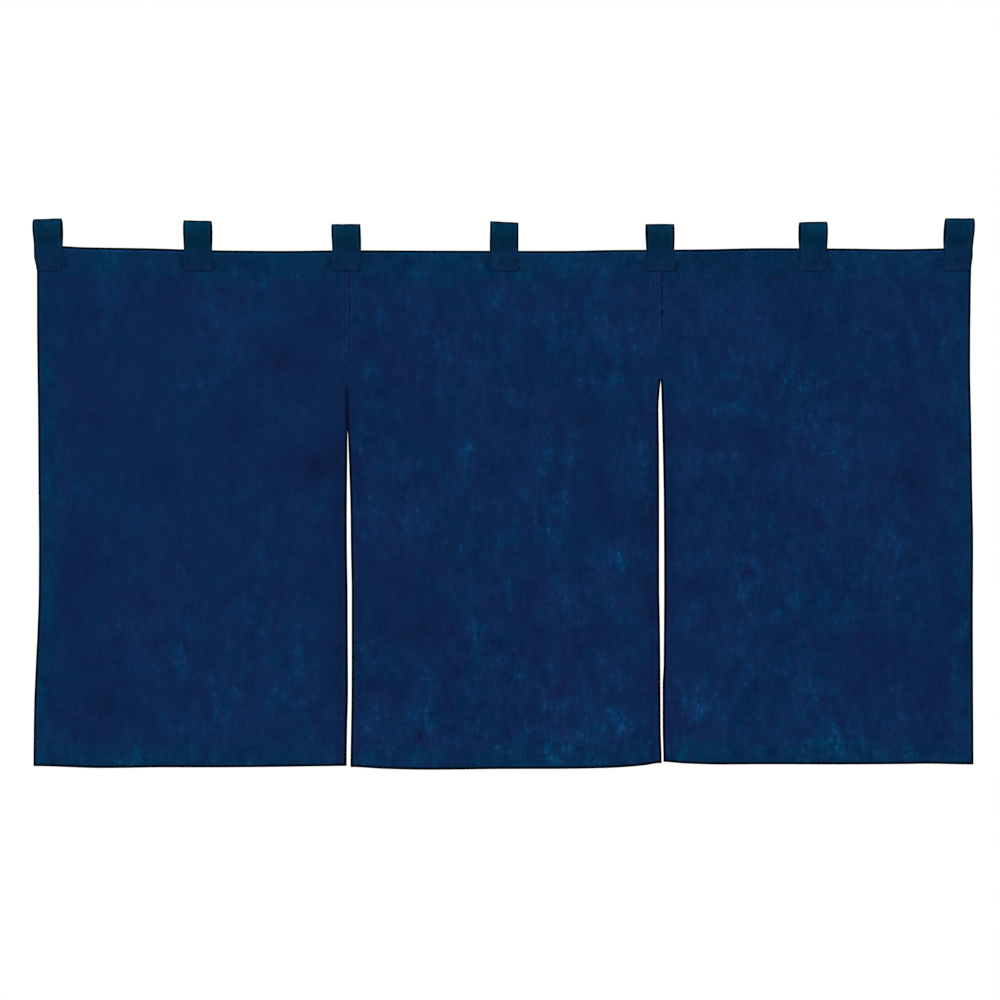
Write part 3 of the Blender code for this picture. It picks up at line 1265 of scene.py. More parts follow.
@dataclass(frozen=True)
class IndigoCloth:
    """Plain weave of slubbed cotton, dyed indigo, with paler and deeper mottling.

    The three directions say how far red, green and blue go where the dye is paler, where
    it is more purple and where a thick yarn has a painted glint.
    """

    name: str
    ground: Colour
    hem: Colour = (0.0025, 0.0257, 0.0788)
    seam: Colour = (0.0064, 0.0204, 0.0820)
    paler: Point = (-0.45, 0.77, 0.55)
    more_purple: Point = (0.95, 0.10, 0.22)
    painted_glint: Point = (0.90, 0.38, 0.24)
    clouds: tuple[Layer, ...] = (Layer(8, 6, 1, 0.55), Layer(28, 20, 2, 0.52))
    slubs: tuple[Layer, ...] = (
        Layer(60, 40, 1, 0.84),
        Layer(114, 72, 1, 0.64),
        Layer(205, 54, 1, 0.68),
        Layer(70, 220, 1, 0.42),
    )
    yarns: tuple[Layer, ...] = (
        Layer(410, 95, 1, 0.50),
        Layer(95, 430, 1, 0.34),
        Layer(270, 190, 1, 0.78),
    )
    stains: tuple[Layer, ...] = (Layer(9, 7, 1, 0.7), Layer(34, 26, 1, 0.5), Layer(100, 70, 1, 0.9))
    patch: float = 0.20
    patch_mottle: float = 0.9
    slub_least: float = 0.80
    slubbier: Ramp = Ramp(-0.05, 0.35, 0.7)
    palest: Ramp = Ramp(0.10, 0.55, 0.15)
    specks: Ramp = Ramp(0.20, 0.60)
    yarn: float = 0.78 * MM
    wander: float = 2.6
    gap_shade: float = 0.12
    roughness: float = 0.88
    gloss: float = 0.0
    relief: float = 0.22 * MM

    def build(self) -> bpy.types.Material:
        """Builds the material.

        Returns:
            The material.
        """
        made = NodeFinish(self.name)
        cloth = made.node("ShaderNodeUVMap", {"uv_map": CLOTH_MAP}).outputs["UV"]
        # The tone mark holds the dye's patches with painted shade and highlight on the folds
        tone = made.mark("tone")
        strength = made.mark("slub")

        clouds = made.layered(cloth, self.clouds)
        mottle = made.noise(cloth, (44.0, 30.0, 1.0)) * self.patch_mottle
        patchy = clouds + tone * (self.patch + mottle)
        slubs = made.layered(cloth, self.slubs) * (self.slub_least + patchy.on(self.slubbier))
        pale = patchy + slubs * strength
        pale = pale * 0.90 + pale.on(self.palest)
        yarns = made.layered(cloth, self.yarns) * strength
        speck = (yarns + slubs * 0.8).on(self.specks) * strength
        stains = made.layered(cloth, self.stains) * strength

        base = made.mixed(made.mark("hem"), opaque(self.ground), opaque(self.hem))
        base = made.mixed(made.mark("seam"), base, opaque(self.seam))
        # Specks and thick yarns add a painted glint
        changes = [
            (pale + speck * 0.5, self.paler),
            (stains, self.more_purple),
            (yarns + speck * 0.7, self.painted_glint),
        ]
        weave, gaps = self.weave(made, cloth)
        # Painted shade in the gaps of the weave, times the rim mark's painted shade and highlights
        light = (1.03 - gaps * self.gap_shade) * (1.0 - made.mark("rim"))
        base = made.shaded(made.changed(base, changes), light)
        made.feed(made.shader.inputs["Base Color"], base)

        made.feed(made.shader.inputs["Roughness"], self.roughness + stains * 0.2)
        height = weave * 0.55 + yarns * 0.5 + slubs * 0.4
        made.feed(made.shader.inputs["Normal"], made.bump(height, self.relief, 0.7))
        made.shader.inputs["Specular IOR Level"].default_value = self.gloss
        return made.material

    def weave(self, made: NodeFinish, cloth: bpy.types.NodeSocket) -> tuple[Term, Term]:
        """The height of an uneven plain weave, and the gaps between its yarns.

        Args:
            made: The finish that is being built.
            cloth: The cloth map.

        Returns:
            The height and the gaps, each from 0 to 1.
        """
        across, along = made.parts(cloth)
        turn = math.pi / self.yarn
        bend = self.wander * self.yarn
        column = (across + made.noise(cloth, (60.0, 9.0, 1.0)) * bend) * turn
        line = (along + made.noise(cloth, (9.0, 60.0, 1.0)) * bend) * turn
        warp = column.cosine()
        weft = line.cosine()
        crossing = warp * weft
        over = (warp.size() + crossing) * 0.5
        under = (weft.size() - crossing) * 0.5
        height = over.larger(under)
        return height, 1.0 - warp.size().larger(weft.size())


@dataclass(frozen=True)
class IndigoThread:
    """Sewing thread in the cloth's own colour, unevenly lighter where worn, with a painted
    highlight on the crests of its twist and painted shade between them.
    """

    name: str
    colour: Colour = (0.0040, 0.0240, 0.0800)
    wear_and_painted_light: Colour = (0.0044, 0.0270, 0.0880)
    twist: float = 0.45 * MM
    relief: float = 0.06 * MM
    roughness: float = 0.7
    gloss: float = 0.12

    def build(self) -> bpy.types.Material:
        """Builds the material.

        Returns:
            The material.
        """
        made = NodeFinish(self.name)
        place = made.node("ShaderNodeTexCoord").outputs["Object"]
        wear = made.noise(place, (180.0, 180.0, 180.0))
        settings = {"wave_type": "BANDS", "bands_direction": "DIAGONAL"}
        sockets = {"Vector": place, "Scale": 0.33 / self.twist, "Distortion": 1.0}
        ply = Term(made, made.node("ShaderNodeTexWave", settings, sockets).outputs["Fac"])
        colour = made.mixed(wear.on(Ramp(-0.1, 0.3)), opaque(self.colour), opaque(self.wear_and_painted_light))
        # Painted highlight on the crests of the twist and painted shade between them
        made.feed(made.shader.inputs["Base Color"], made.shaded(colour, 0.85 + ply * 0.25))
        made.feed(made.shader.inputs["Roughness"], self.roughness + wear * 0.2)
        made.feed(made.shader.inputs["Normal"], made.bump(ply, self.relief, 0.6))
        made.shader.inputs["Specular IOR Level"].default_value = self.gloss
        return made.material


@dataclass(frozen=True)
class PaleFloor:
    """A plain pale matt floor, a little uneven in tone."""

    name: str = "pale_floor"
    colour: Colour = (0.74, 0.74, 0.73)
    shade: Colour = (0.70, 0.70, 0.70)

    def build(self) -> bpy.types.Material:
        """Builds the material.

        Returns:
            The material.
        """
        made = NodeFinish(self.name)
        place = made.node("ShaderNodeTexCoord").outputs["Object"]
        drift = made.noise(place, (0.8, 0.8, 0.8))
        colour = made.mixed(drift.on(Ramp(-0.3, 0.3)), opaque(self.colour), opaque(self.shade))
        made.feed(made.shader.inputs["Base Color"], colour)
        made.shader.inputs["Roughness"].default_value = 0.8
        made.shader.inputs["Specular IOR Level"].default_value = 0.2
        return made.material


@dataclass(frozen=True)
class HemSide:
    """One hemmed side of a panel: how deep its hem is, and from what drop it is sewn."""

    depth: float
    sewn_from: float = 0.0


@dataclass
class ClothPanel:
    """One hemmed panel of the curtain."""

    name: str
    key: str
    left: SmoothTable
    right: SmoothTable
    foot: SmoothTable
    left_hem: HemSide
    right_hem: HemSide
    cut: tuple[float, float]
    shut_left: bool = False
    shut_right: bool = False
    # How strongly the creases add painted shade and highlight to the tone
    painted_crease_shade: float = 0.45 / MM
    hem_tones: tuple[float, ...] = (1.0, 0.75, 0.9, 0.8)
    hem_drift: float = 7 * MM
    hem_blend: float = 13 * MM
    spread: tuple[float, float] = (SPREAD, SPREAD)
    slub_top: float = 1.12
    slub_foot: float = 1.22
    step: float = 3.1 * MM
    hem_step: float = 2.1 * MM
    trough: float = 0.06 * MM
    trough_reach: float = 1.15 * MM
    pucker: float = 0.24 * MM
    pucker_span: float = 8 * MM
    pucker_reach: float = 9 * MM
    crumple: float = 0.34 * MM
    crumple_span: float = 62 * MM
    wrinkle_span: float = 27 * MM
    pull: float = 0.5 * MM
    shut_from: float = 136 * MM
    shut_to: float = 190 * MM
    shut_fades: tuple[float, float] = (13 * MM, 40 * MM)
    lap: float = 1.0 * MM
    lap_depth: float = 1.25 * MM
    lap_start: float = 24 * MM
    lap_reach: float = 26 * MM
    lift: float = 0.10 * MM
    ticks: tuple[Level, ...] = ()
    grid: ClothGrid | None = None
    columns: np.ndarray | None = None
    rows: np.ndarray | None = None

    def hem_lines(self, hem: float) -> list[float]:
        """Distances from an edge, close together round its fold and along its stitches.

        Args:
            hem: The depth of the edge's hem.

        Returns:
            The distances, from the edge inwards.
        """
        rim = [d * MM for d in PANEL_RIM_ROWS]
        around = [hem - STITCH_INSET + d * MM for d in STITCH_ROWS]
        count = max(round((around[0] - rim[-1]) / self.hem_step), 1)
        inner = [mix(rim[-1], around[0], i / count) for i in range(1, count)]
        return rim + inner + around

    def stations(self, length: float, near: float, far: float) -> np.ndarray:
        """Distances across a panel, close together at both hems and even between.

        Args:
            length: The distance from edge to edge.
            near: The depth of the first edge's hem.
            far: The depth of the last edge's hem.

        Returns:
            The distances.
        """
        first = self.hem_lines(near)
        last = [length - d for d in reversed(self.hem_lines(far))]
        count = max(round((last[0] - first[-1]) / self.step), 1)
        inner = [mix(first[-1], last[0], i / count) for i in range(1, count)]
        return np.array(first + inner + last)

    def place(self) -> tuple[np.ndarray, np.ndarray, list[np.ndarray]]:
        """Lays the panel's points out flat.

        Returns:
            Places across, heights, and the distances from the left, right, top and foot.
        """
        width = float(self.right.read(DROP) - self.left.read(DROP))
        self.columns = self.stations(width, self.left_hem.depth, self.right_hem.depth)
        self.rows = self.stations(DROP, HEADING, FOOT_HEM)
        across, down = np.meshgrid(self.columns / width, self.rows / DROP, indexing="ij")
        drop = down * DROP
        left = self.left.read(drop) - self.spread[0]
        x = left + (self.right.read(drop) + self.spread[1] - left) * across
        top = TOP_EDGE.read(x) + SPREAD
        z = top + (self.foot.read(x) - SPREAD - top) * down
        return x, z, [across * width, (1.0 - across) * width, drop, DROP - drop]

    def build(self) -> bpy.types.Object:
        """Builds the panel's mesh.

        Returns:
            The panel's object.
        """
        x, z, distances = self.place()
        drop = distances[2]
        depths = (self.left_hem.depth, self.right_hem.depth, HEADING, FOOT_HEM)
        starts = (self.left_hem.sewn_from, self.right_hem.sewn_from, 0.0, 0.0)
        alongs = (z, z, x, x)
        edge = np.minimum.reduce(distances)
        turned = np.zeros_like(x)
        sewn = np.zeros_like(x)
        ripple = np.zeros_like(x)
        for i, (away, depth, start, along) in enumerate(zip(distances, depths, starts, alongs)):
            from_seam = away - (depth - STITCH_INSET)
            stitched = smooth_step((drop - start) / (6 * MM) + 0.5) if start else 1.0
            turned = np.maximum(turned, 1.0 - smooth_step((away - depth) / (0.9 * MM) + 0.5))
            sewn = np.maximum(sewn, dip(from_seam, self.trough_reach) * stitched)
            gathers = uneven(along, away * 0.25, self.pucker_span, Seed.GATHERS + i)
            ripple += gathers * dip(from_seam, self.pucker_reach) * stitched
        crumple = uneven(x, z, self.crumple_span, Seed.CRUMPLE)
        crumple += 0.5 * uneven(x, z, self.wrinkle_span, Seed.WRINKLES)
        plane = -relief(self.key, x, z) - creasing(self.key, x, z)
        plane = plane - crumple * self.crumple * below_heading(z) - ripple * self.pucker
        plane = plane - self.pull * tab_pulls(x, z)
        x, plane = self.shut_slit(x, plane, drop, distances)

        round_off = fold_round(edge, RIM)
        ahead = CLOTH / 2 + HEM_PUFF * turned
        behind = CLOTH / 2 + HEM_EXTRA * turned
        middle = (behind - ahead) / 2
        groove = sewn * self.trough
        near = plane + middle - (middle + ahead) * round_off + groove * round_off
        far = plane + middle + (behind - middle) * round_off - groove * round_off
        band = self.band_mark(distances)
        # The tone adds painted shade in the creases' troughs and painted highlight on their ridges
        tone = dye_tone_and_painted_shade(x, z) + self.painted_crease_shade * creasing(self.key, x, z)
        slub = mix(self.slub_top, self.slub_foot, drop / DROP) * (1.0 + 0.2 * band)
        slub = slub * (1.0 - 0.5 * np.clip(-tone, 0.0, 1.0) + 0.25 * np.clip(tone, 0.0, 1.0))
        marks = {
            "tone": tone,
            "hem": band,
            "rim": self.edge_shade(x, z, distances),
            "seam": self.slit_mark(distances),
            "slub": slub,
        }
        cloth_map = np.stack((x, z), axis=-1)
        points = [np.stack((x, y, z), axis=-1) for y in (near, far)]
        self.grid = ClothGrid(points[0], points[1], cloth_map, marks)
        return cloth_object(self.name, [self.grid])

    def shut_slit(
        self,
        x: np.ndarray,
        plane: np.ndarray,
        drop: np.ndarray,
        distances: Sequence[np.ndarray],
    ) -> tuple[np.ndarray, np.ndarray]:
        """Laps the sides of the left slit where it hangs shut, just below its seam.

        Args:
            x: Places across.
            plane: The middle of the cloth, front to back.
            drop: Drops below the top edge.
            distances: Distances from the left and the right side, and more.

        Returns:
            The new places across, and the new middle.
        """
        above, below = self.shut_fades
        touching = smooth_step((drop - self.shut_from) / above + 0.5)
        touching = touching * (1.0 - smooth_step((drop - self.shut_to) / below + 0.5))
        lapped = window(drop, self.shut_from + self.lap_start, self.shut_to, 10 * MM)
        ends = ((distances[1], self.shut_right, 1.0), (distances[0], self.shut_left, -1.0))
        for away, shut, sign in ends:
            if shut:
                beside = sign * dip(away, self.lap_reach)
                x = x + self.lap * touching * beside
                plane = plane - self.lap_depth * lapped * beside
        return x, plane

    def edge_shade(
        self, x: np.ndarray, z: np.ndarray, distances: Sequence[np.ndarray]
    ) -> np.ndarray:
        """The painted shade at the edges, slits and beside the tabs, and where less than 0, the
        painted highlights on the folds inside the outlines.

        Args:
            x: Places across.
            z: Heights.
            distances: Distances from the left, right, top and foot.

        Returns:
            The shade, from about -1.3 to 1.
        """
        # Uneven strength of the painted highlights and shade along the edges
        wear_and_painted_light = 0.8 + 0.5 * uneven(x, z, 16 * MM, Seed.WEAR)
        touching = window(distances[2], self.shut_from, self.shut_to + 4 * MM, 18 * MM)
        beside = touching * float(self.shut_left or self.shut_right)
        slit = distances[0] if self.shut_left else distances[1]
        softer = 1.0 - beside * SHUT_FADE.over(slit)
        hems = (self.left_hem, self.right_hem)
        reaches = [SLIT_REACH if hem.depth == SLIT_HEM else OUTLINE_REACH for hem in hems]
        reaches += [OUTLINE_REACH, OUTLINE_REACH]
        dark = [outline(away, reach) for away, reach in zip(distances, reaches)]
        # Painted shade: the dark outlines, the shade where the slit hangs shut and the shadows
        # beside the tabs
        shade = OUTLINE * softer * np.maximum.reduce(dark)
        shade += beside * SHUT_SHADE.over(slit) + tab_shadows(x, z)
        # Painted highlights on the folds inside the outlines, and painted highlight and shade on an
        # open slit's hem
        shade -= TOP_FOLD.over(distances[2]) * wear_and_painted_light
        for away, reach, hem, wide in zip(distances, reaches, hems, SLIT_SHADES):
            shade -= SIDE_FOLD.over(away - reach) * wear_and_painted_light * softer
            if hem.depth == SLIT_HEM:
                open_part = smooth_step((distances[2] - hem.sewn_from) / (10 * MM) + 0.5)
                lines = (SLIT_HOLLOW.over(away) - SLIT_CREST.over(away)) * wear_and_painted_light
                shade += (lines + wide.over(away)) * open_part * (1.0 - 0.85 * beside)
        return shade

    def slit_mark(self, distances: Sequence[np.ndarray]) -> np.ndarray:
        """How much of the seams' more purple tone shows beside an open slit.

        Args:
            distances: Distances from the left, right, top and foot.

        Returns:
            The share, from 0 to 1.
        """
        found = np.zeros_like(distances[0])
        for away, hem in ((distances[0], self.left_hem), (distances[1], self.right_hem)):
            if hem.depth == SLIT_HEM:
                open_part = smooth_step((distances[2] - hem.sewn_from) / (24 * MM) + 0.5)
                found = np.maximum(found, SLIT_PURPLE.over(away) * open_part)
        return found

    def band_mark(self, distances: Sequence[np.ndarray]) -> np.ndarray:
        """How much of the hems' own tone shows: most on outer hems, and none at the slits.

        Args:
            distances: Distances from the left, right, top and foot.

        Returns:
            The share, from 0 to 1.
        """
        sides = (self.left_hem.depth, self.right_hem.depth, HEADING, FOOT_HEM)
        found = np.zeros_like(distances[0])
        drift = self.hem_drift * uneven(distances[0], distances[2], 24 * MM, Seed.HEM_TONE)
        for away, depth, strength in zip(distances, sides, self.hem_tones):
            share = 0.0 if depth == SLIT_HEM else strength
            inside = (away + drift - depth) / self.hem_blend
            found = np.maximum(found, share * (1.0 - smooth_step(inside + 0.5)))
        return found

    def seams(self) -> list[np.ndarray]:
        """The lines of stitches on both faces, along every hem.

        Returns:
            The lines, each with a point a row.
        """
        found = []
        left = nearest(self.columns, self.left_hem.depth - STITCH_INSET)
        right = nearest(self.columns, self.columns[-1] - self.right_hem.depth + STITCH_INSET)
        top = nearest(self.rows, HEADING - STITCH_INSET)
        foot = nearest(self.rows, DROP - FOOT_HEM + STITCH_INSET)
        for face in Face:
            for column, hem in ((left, self.left_hem), (right, self.right_hem)):
                first = max(int(np.searchsorted(self.rows, hem.sewn_from)), SEAM_END)
                found.append(self.grid.line(face, column, slice(first, -SEAM_END), self.lift))
            for row in (top, foot):
                found.append(self.grid.line(face, slice(SEAM_END, -SEAM_END), row, self.lift))
        for tick in self.ticks:
            column = nearest(self.grid.near[:, 0, 0], tick.x * MM)
            row = nearest(self.rows, -tick.z * MM)
            found.append(self.grid.line(Face.NEAR, slice(column - 1, column + 1), row, self.lift))
        return found

    def dress(
        self,
        piece: bpy.types.Object,
        finish: bpy.types.Material,
        with_pieces: Sequence[bpy.types.Object],
    ) -> None:
        """Gives the panel its finish and its place in the model.

        Args:
            piece: The panel's object.
            finish: Its material.
            with_pieces: The seam bands and stitches that are on it. Not used.
        """
        piece.data.materials.append(finish)
        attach(piece, BODY)
        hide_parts(self.name.replace("cloth_", "panel_"))


@dataclass
class ClothTab:
    """One tab: a folded strip, sewn to both faces of the heading, with an open loop."""

    row: TabRow
    taper: tuple[float, float] = (0.0, 0.0)
    edge_seam: float = 2.4 * MM
    foot_seams: tuple[float, ...] = (2.6 * MM, 7.1 * MM)
    step: float = 1.25 * MM
    tail_step: float = 1.15 * MM
    loop_steps: int = 6
    corner: float = 3.6 * MM
    rim: float = 0.8 * MM
    tail_rim: float = 2.2 * MM
    sunk: float = 0.85 * MM
    tail_outer: float = -0.10 * MM
    tail_inner: float = -1.15 * MM
    trough: float = 0.22 * MM
    pinch: float = 0.12 * MM
    puff: float = 0.42 * MM
    pucker: float = 0.42 * MM
    bump: float = 0.22 * MM
    lift: float = 0.16 * MM
    # How strong the painted shade and highlight on the sewn ends' puckers are, and the painted
    # highlights on the folds
    painted_pucker_shade: float = 0.62
    hidden: float = 0.88
    bright: float = 0.6
    cut: tuple[float, float] = (0.031, 0.124)
    grid: ClothGrid | None = None
    across: np.ndarray | None = None
    tail_rows: int = 0

    def stations(self, width: float) -> np.ndarray:
        """Distances across the strip, close together at its folds and its edge seams.

        Args:
            width: The strip's width.

        Returns:
            The distances.
        """
        first = [d * MM for d in TAB_RIM_ROWS]
        last = [width - d for d in reversed(first)]
        count = round((last[0] - first[-1]) / self.step)
        inner = [mix(first[-1], last[0], i / count) for i in range(1, count)]
        return np.array(first + inner + last)

    def tail(self, x: float, side: int) -> tuple[list[np.ndarray], float]:
        """The middle line of a tab's end, upwards, as depth and height.

        Args:
            x: The place across.
            side: -1 in front of the heading and 1 behind it.

        Returns:
            The points, and the depth at which the loop starts.
        """
        reach = CLOTH / 2 + CLEARANCE + TAB_CLOTH / 2
        if side > 0:
            reach += HEM_EXTRA
        count = self.tail_rows
        heights = [mix(-TAB_TAIL, 0.0, i / count) for i in range(count)]
        heights[1:1] = [-TAB_TAIL + d * MM for d in (0.12, 0.4)]
        swell = relief("every", np.full(len(heights), x), np.array(heights))
        return [np.array((side * reach - s, z)) for s, z in zip(swell, heights)], side * reach

    def loop(self, foot: float, top: float, front: float, back: float) -> list[np.ndarray]:
        """The middle line of the open loop, from the front end over the top to the back.

        Args:
            foot: The height at which the loop leaves the heading.
            top: The height of its crown.
            front: The depth of its front end.
            back: The depth of its back end.

        Returns:
            The points, as depth and height.
        """
        centre = (front + back) / 2
        up, down = [], []
        for rise, half_depth in LOOP:
            half = half_depth * MM * self.row.fullness
            y = centre + self.row.lean * MM * rise
            z = foot + (top - foot) * rise
            up.append(np.array((y - half, z)))
            down.insert(0, np.array((y + half, z)))
        crown = np.array((centre + self.row.lean * MM, top))
        ends = [np.array((y, foot)) for y in (front, back)]
        under = [np.array((y, foot - LEAD_IN)) for y in (front, back)]
        points = [under[0], ends[0], *up, crown, *down, ends[1], under[1]]
        found = []
        for before, start, end, after in zip(points, points[1:], points[2:], points[3:]):
            for t in np.arange(self.loop_steps) / self.loop_steps:
                found.append(
                    start * (2 * t**3 - 3 * t**2 + 1)
                    + (end - before) * 0.5 * (t**3 - 2 * t**2 + t)
                    + end * (3 * t**2 - 2 * t**3)
                    + (after - start) * 0.5 * (t**3 - t**2)
                )
        found.append(points[-2])
        return found

    def build(self) -> bpy.types.Object:
        """Builds the tab's mesh.

        Returns:
            The tab's object.
        """
        row = self.row
        width = (row.right_foot - row.left_foot) * MM
        self.tail_rows = round(TAB_TAIL / self.tail_step)
        self.across = self.stations(width)
        lines, feet, tops = [], [], []
        for share in self.across / width:
            top = mix(row.top_left, row.top_right, share) * MM - TAB_CLOTH / 2
            foot_x = mix(row.left_foot, row.right_foot, share) * MM
            foot = float(TOP_EDGE.read(foot_x)) + TAB_LIFT
            rise, front = self.tail(foot_x, -1)
            fall, back = self.tail(foot_x, 1)
            lines.append(rise + self.loop(foot, top, front, back) + fall[::-1])
            feet.append(foot_x)
            tops.append(mix(row.left_top, row.right_top, share) * MM)
        feet, tops = np.array(feet)[:, None], np.array(tops)[:, None]
        middle = (row.left_foot + row.right_foot) / 2 * MM
        centre = np.array(lines)
        ahead = np.gradient(centre, axis=1)
        normal = np.stack((-ahead[..., 1], ahead[..., 0]), axis=-1)
        normal /= np.linalg.norm(normal, axis=-1, keepdims=True)
        steps = np.linalg.norm(np.diff(centre, axis=1), axis=-1)
        along = np.concatenate((np.zeros((len(feet), 1)), np.cumsum(steps, axis=1)), axis=1)
        side = np.minimum(self.across, width - self.across)[:, None] + 0.0 * along
        end = np.minimum(along, along[:, -1:] - along)
        outer, inner = self.thickness(side, end, along, centre)
        faces = []
        for offset in (outer, -inner):
            line = centre + normal * offset[..., None]
            z = line[..., 1]
            x = feet + (tops - feet) * smooth_step(z / (row.top_left * MM))
            inset = self.corner * (1.0 - fold_round(end, self.corner))
            x = middle + (x - middle) * (1.0 + (SPREAD - inset) / (width / 2))
            share = self.across[:, None] / width
            taken_in = self.taper[0] * (1.0 - share) - self.taper[1] * share
            x = x + taken_in * smooth_step((-z - 6 * MM) / (16 * MM))
            faces.append(np.stack((x, line[..., 0], z), axis=-1))
        marks = self.shades(side, end, along, centre[..., 1])
        cloth_map = np.stack((self.across[:, None] + feet[0, 0] + 0.0 * along, along), axis=-1)
        self.grid = ClothGrid(faces[0], faces[1], cloth_map, marks)
        return cloth_object(self.name(), [self.grid])

    def outlines(self, along: np.ndarray) -> tuple[np.ndarray, np.ndarray, np.ndarray]:
        """The painted dark outlines of the strip's two long sides, and the painted highlights on
        the folds inside them.

        On a tab away from the middle the back of the loop shows past its inward side, and
        makes most of the outline there.

        Args:
            along: Distances from the front end.

        Returns:
            The outlines, the folds and the outlines that go on down the sewn ends, which
            only the outermost tabs have, on their outward sides. Each is from 0 to 1.
        """
        turned = (self.row.left_foot + self.row.right_foot) / 2 * MM / TAB_ROW_HALF
        front = along < along[:, -1:] / 2
        left = self.across[:, None] + 0.0 * along
        dark = np.zeros_like(along)
        light = np.zeros_like(along)
        going_on = np.zeros_like(along)
        for away, inward in ((left, turned), (self.across[-1] - left, -turned)):
            reach = TAB_REACH * np.where(front, 1.0 - self.hidden * max(inward, 0.0), 1.0)
            dark = np.maximum(dark, outline(away, reach))
            light = np.maximum(light, TAB_SIDE_FOLD.over(away - reach))
            if inward < -OUTERMOST:
                going_on = outline(away, TAB_REACH)
        return dark, light * (1.05 + 0.3 * abs(turned)), going_on

    def shades(
        self, side: np.ndarray, end: np.ndarray, along: np.ndarray, height: np.ndarray
    ) -> dict[str, np.ndarray]:
        """The marks of the strip: painted outlines and highlights round the loop, and painted shade
        at its sewn ends.

        Args:
            side: Distances from the nearer long side.
            end: Distances from the nearer end.
            along: Distances from the front end.
            height: Heights.

        Returns:
            The marks by name.
        """
        loop = smooth_step((height + 2 * MM) / (4 * MM))
        crown = np.max(height, axis=1, keepdims=True) - height
        # Uneven strength of the painted shade and highlights on the tab
        wear_and_painted_light = 0.75 + 0.6 * uneven(side, height, 7 * MM, self.row.lean * 31.0)
        dark, light, going_on = self.outlines(along)
        dark = np.maximum(dark, outline(crown, 2.0 * MM))
        light = light + TAB_CROWN_FOLD.over(crown)
        place = self.across[:, None] + 0.0 * along
        # Painted shade and highlight of the puckers on the sewn ends
        painted_pucker_shade = uneven(place, height * 0.6, 5.5 * MM, self.row.lean * 17.0)
        painted_pucker_shade += 0.5 * uneven(place * 1.5, height * 0.5, 4.0 * MM, self.row.lean * 23.0)
        faint = self.painted_pucker_shade * painted_pucker_shade * dip(height + 13 * MM, 14 * MM)
        faint += (TAB_SIDE_SHADE.over(side) + TAB_END_SHADE.over(end)) * wear_and_painted_light
        faint = np.maximum(faint, OUTLINE * going_on)
        low = smooth_step((-height - 13 * MM) / (6 * MM))
        # The tone is a painted highlight near the crown and painted shade below it; the rim is
        # painted outlines, highlights and shade
        return {
            "tone": TAB_PAINTED_HIGHLIGHT.over(crown) - TAB_PAINTED_SHADE.over(crown),
            "hem": mix(0.25 * (1.0 - low), 1.0, loop),
            "rim": mix(faint, OUTLINE * dark - self.bright * light * wear_and_painted_light, loop),
            "seam": 0.08 * low,
            "slub": 0.7 + 0.0 * side,
        }

    def name(self) -> str:
        """The name of the piece that stands for the tab's node."""
        return self.row.name.replace("tab_", "cloth_tab_")

    def thickness(
        self, side: np.ndarray, end: np.ndarray, along: np.ndarray, centre: np.ndarray
    ) -> tuple[np.ndarray, np.ndarray]:
        """How far the strip's two faces stand off its middle line.

        Args:
            side: Distances from the nearer long side.
            end: Distances from the nearer end.
            along: Distances from the front end.
            centre: The middle line's points, as depth and height.

        Returns:
            The outer and the inner distance.
        """
        width = self.across[-1]
        place = self.across[:, None] - width / 2 + 0.0 * along
        edge = np.minimum(side, end)
        height = centre[..., 1]
        tail = 1.0 - smooth_step((height + 4 * MM) / (5 * MM))
        reach = mix(self.rim, self.tail_rim, tail)
        round_off = fold_round(edge, reach)

        crease = PINCH_ACROSS.over(place) * window(height, -12 * MM, 2 * MM, 6 * MM)
        puffs = PUFF_ACROSS.over(abs(place)) * PUFF_DOWN.over(-height)
        puffs *= 1.0 + 1.6 * self.row.lean * np.clip(place / (6 * MM), -1.0, 1.0)
        rows = [dip(end - seam, 1.3 * MM) for seam in self.foot_seams]
        seed = self.row.lean * 9.0
        upright = uneven(place, along * 0.35, 4.2 * MM, seed)
        bumps = uneven(place, along, 7 * MM, seed + 3.0)
        drawn = dip(side - self.edge_seam, 0.9 * MM) + np.maximum.reduce(rows)
        raised = self.puff * puffs - self.pinch * crease - self.trough * drawn
        raised += self.pucker * upright * dip(height + 10 * MM, 11 * MM) + self.bump * bumps

        level = mix(TAB_CLOTH / 2, self.tail_outer, tail)
        under = mix(-TAB_CLOTH / 2, self.tail_inner, tail)
        sunk = -self.sunk * tail
        outer = sunk + (level - sunk + raised) * round_off
        inner = sunk + (under - sunk) * round_off
        return outer, -inner

    def seams(self) -> list[np.ndarray]:
        """The lines of stitches: along both sides, and across each end.

        Returns:
            The lines, each with a point a row.
        """
        left = nearest(self.across, self.edge_seam)
        right = nearest(self.across, self.across[-1] - self.edge_seam)
        ends = slice(SEAM_END, -SEAM_END)
        found = [self.grid.line(Face.NEAR, side, ends, self.lift) for side in (left, right)]
        along = self.grid.cloth_map[0, :, 1]
        for seam in self.foot_seams:
            for at in (seam, along[-1] - seam):
                across = slice(left + 2, right - 1)
                found.append(self.grid.line(Face.NEAR, across, nearest(along, at), self.lift))
        return found

    def dress(
        self,
        piece: bpy.types.Object,
        finish: bpy.types.Material,
        with_pieces: Sequence[bpy.types.Object],
    ) -> None:
        """Gives the tab its finish and its place in the model.

        Args:
            piece: The tab's object.
            finish: Its material.
            with_pieces: The stitches on it. Not used.
        """
        piece.data.materials.append(finish)
        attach(piece, BODY)
        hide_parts(self.row.name)


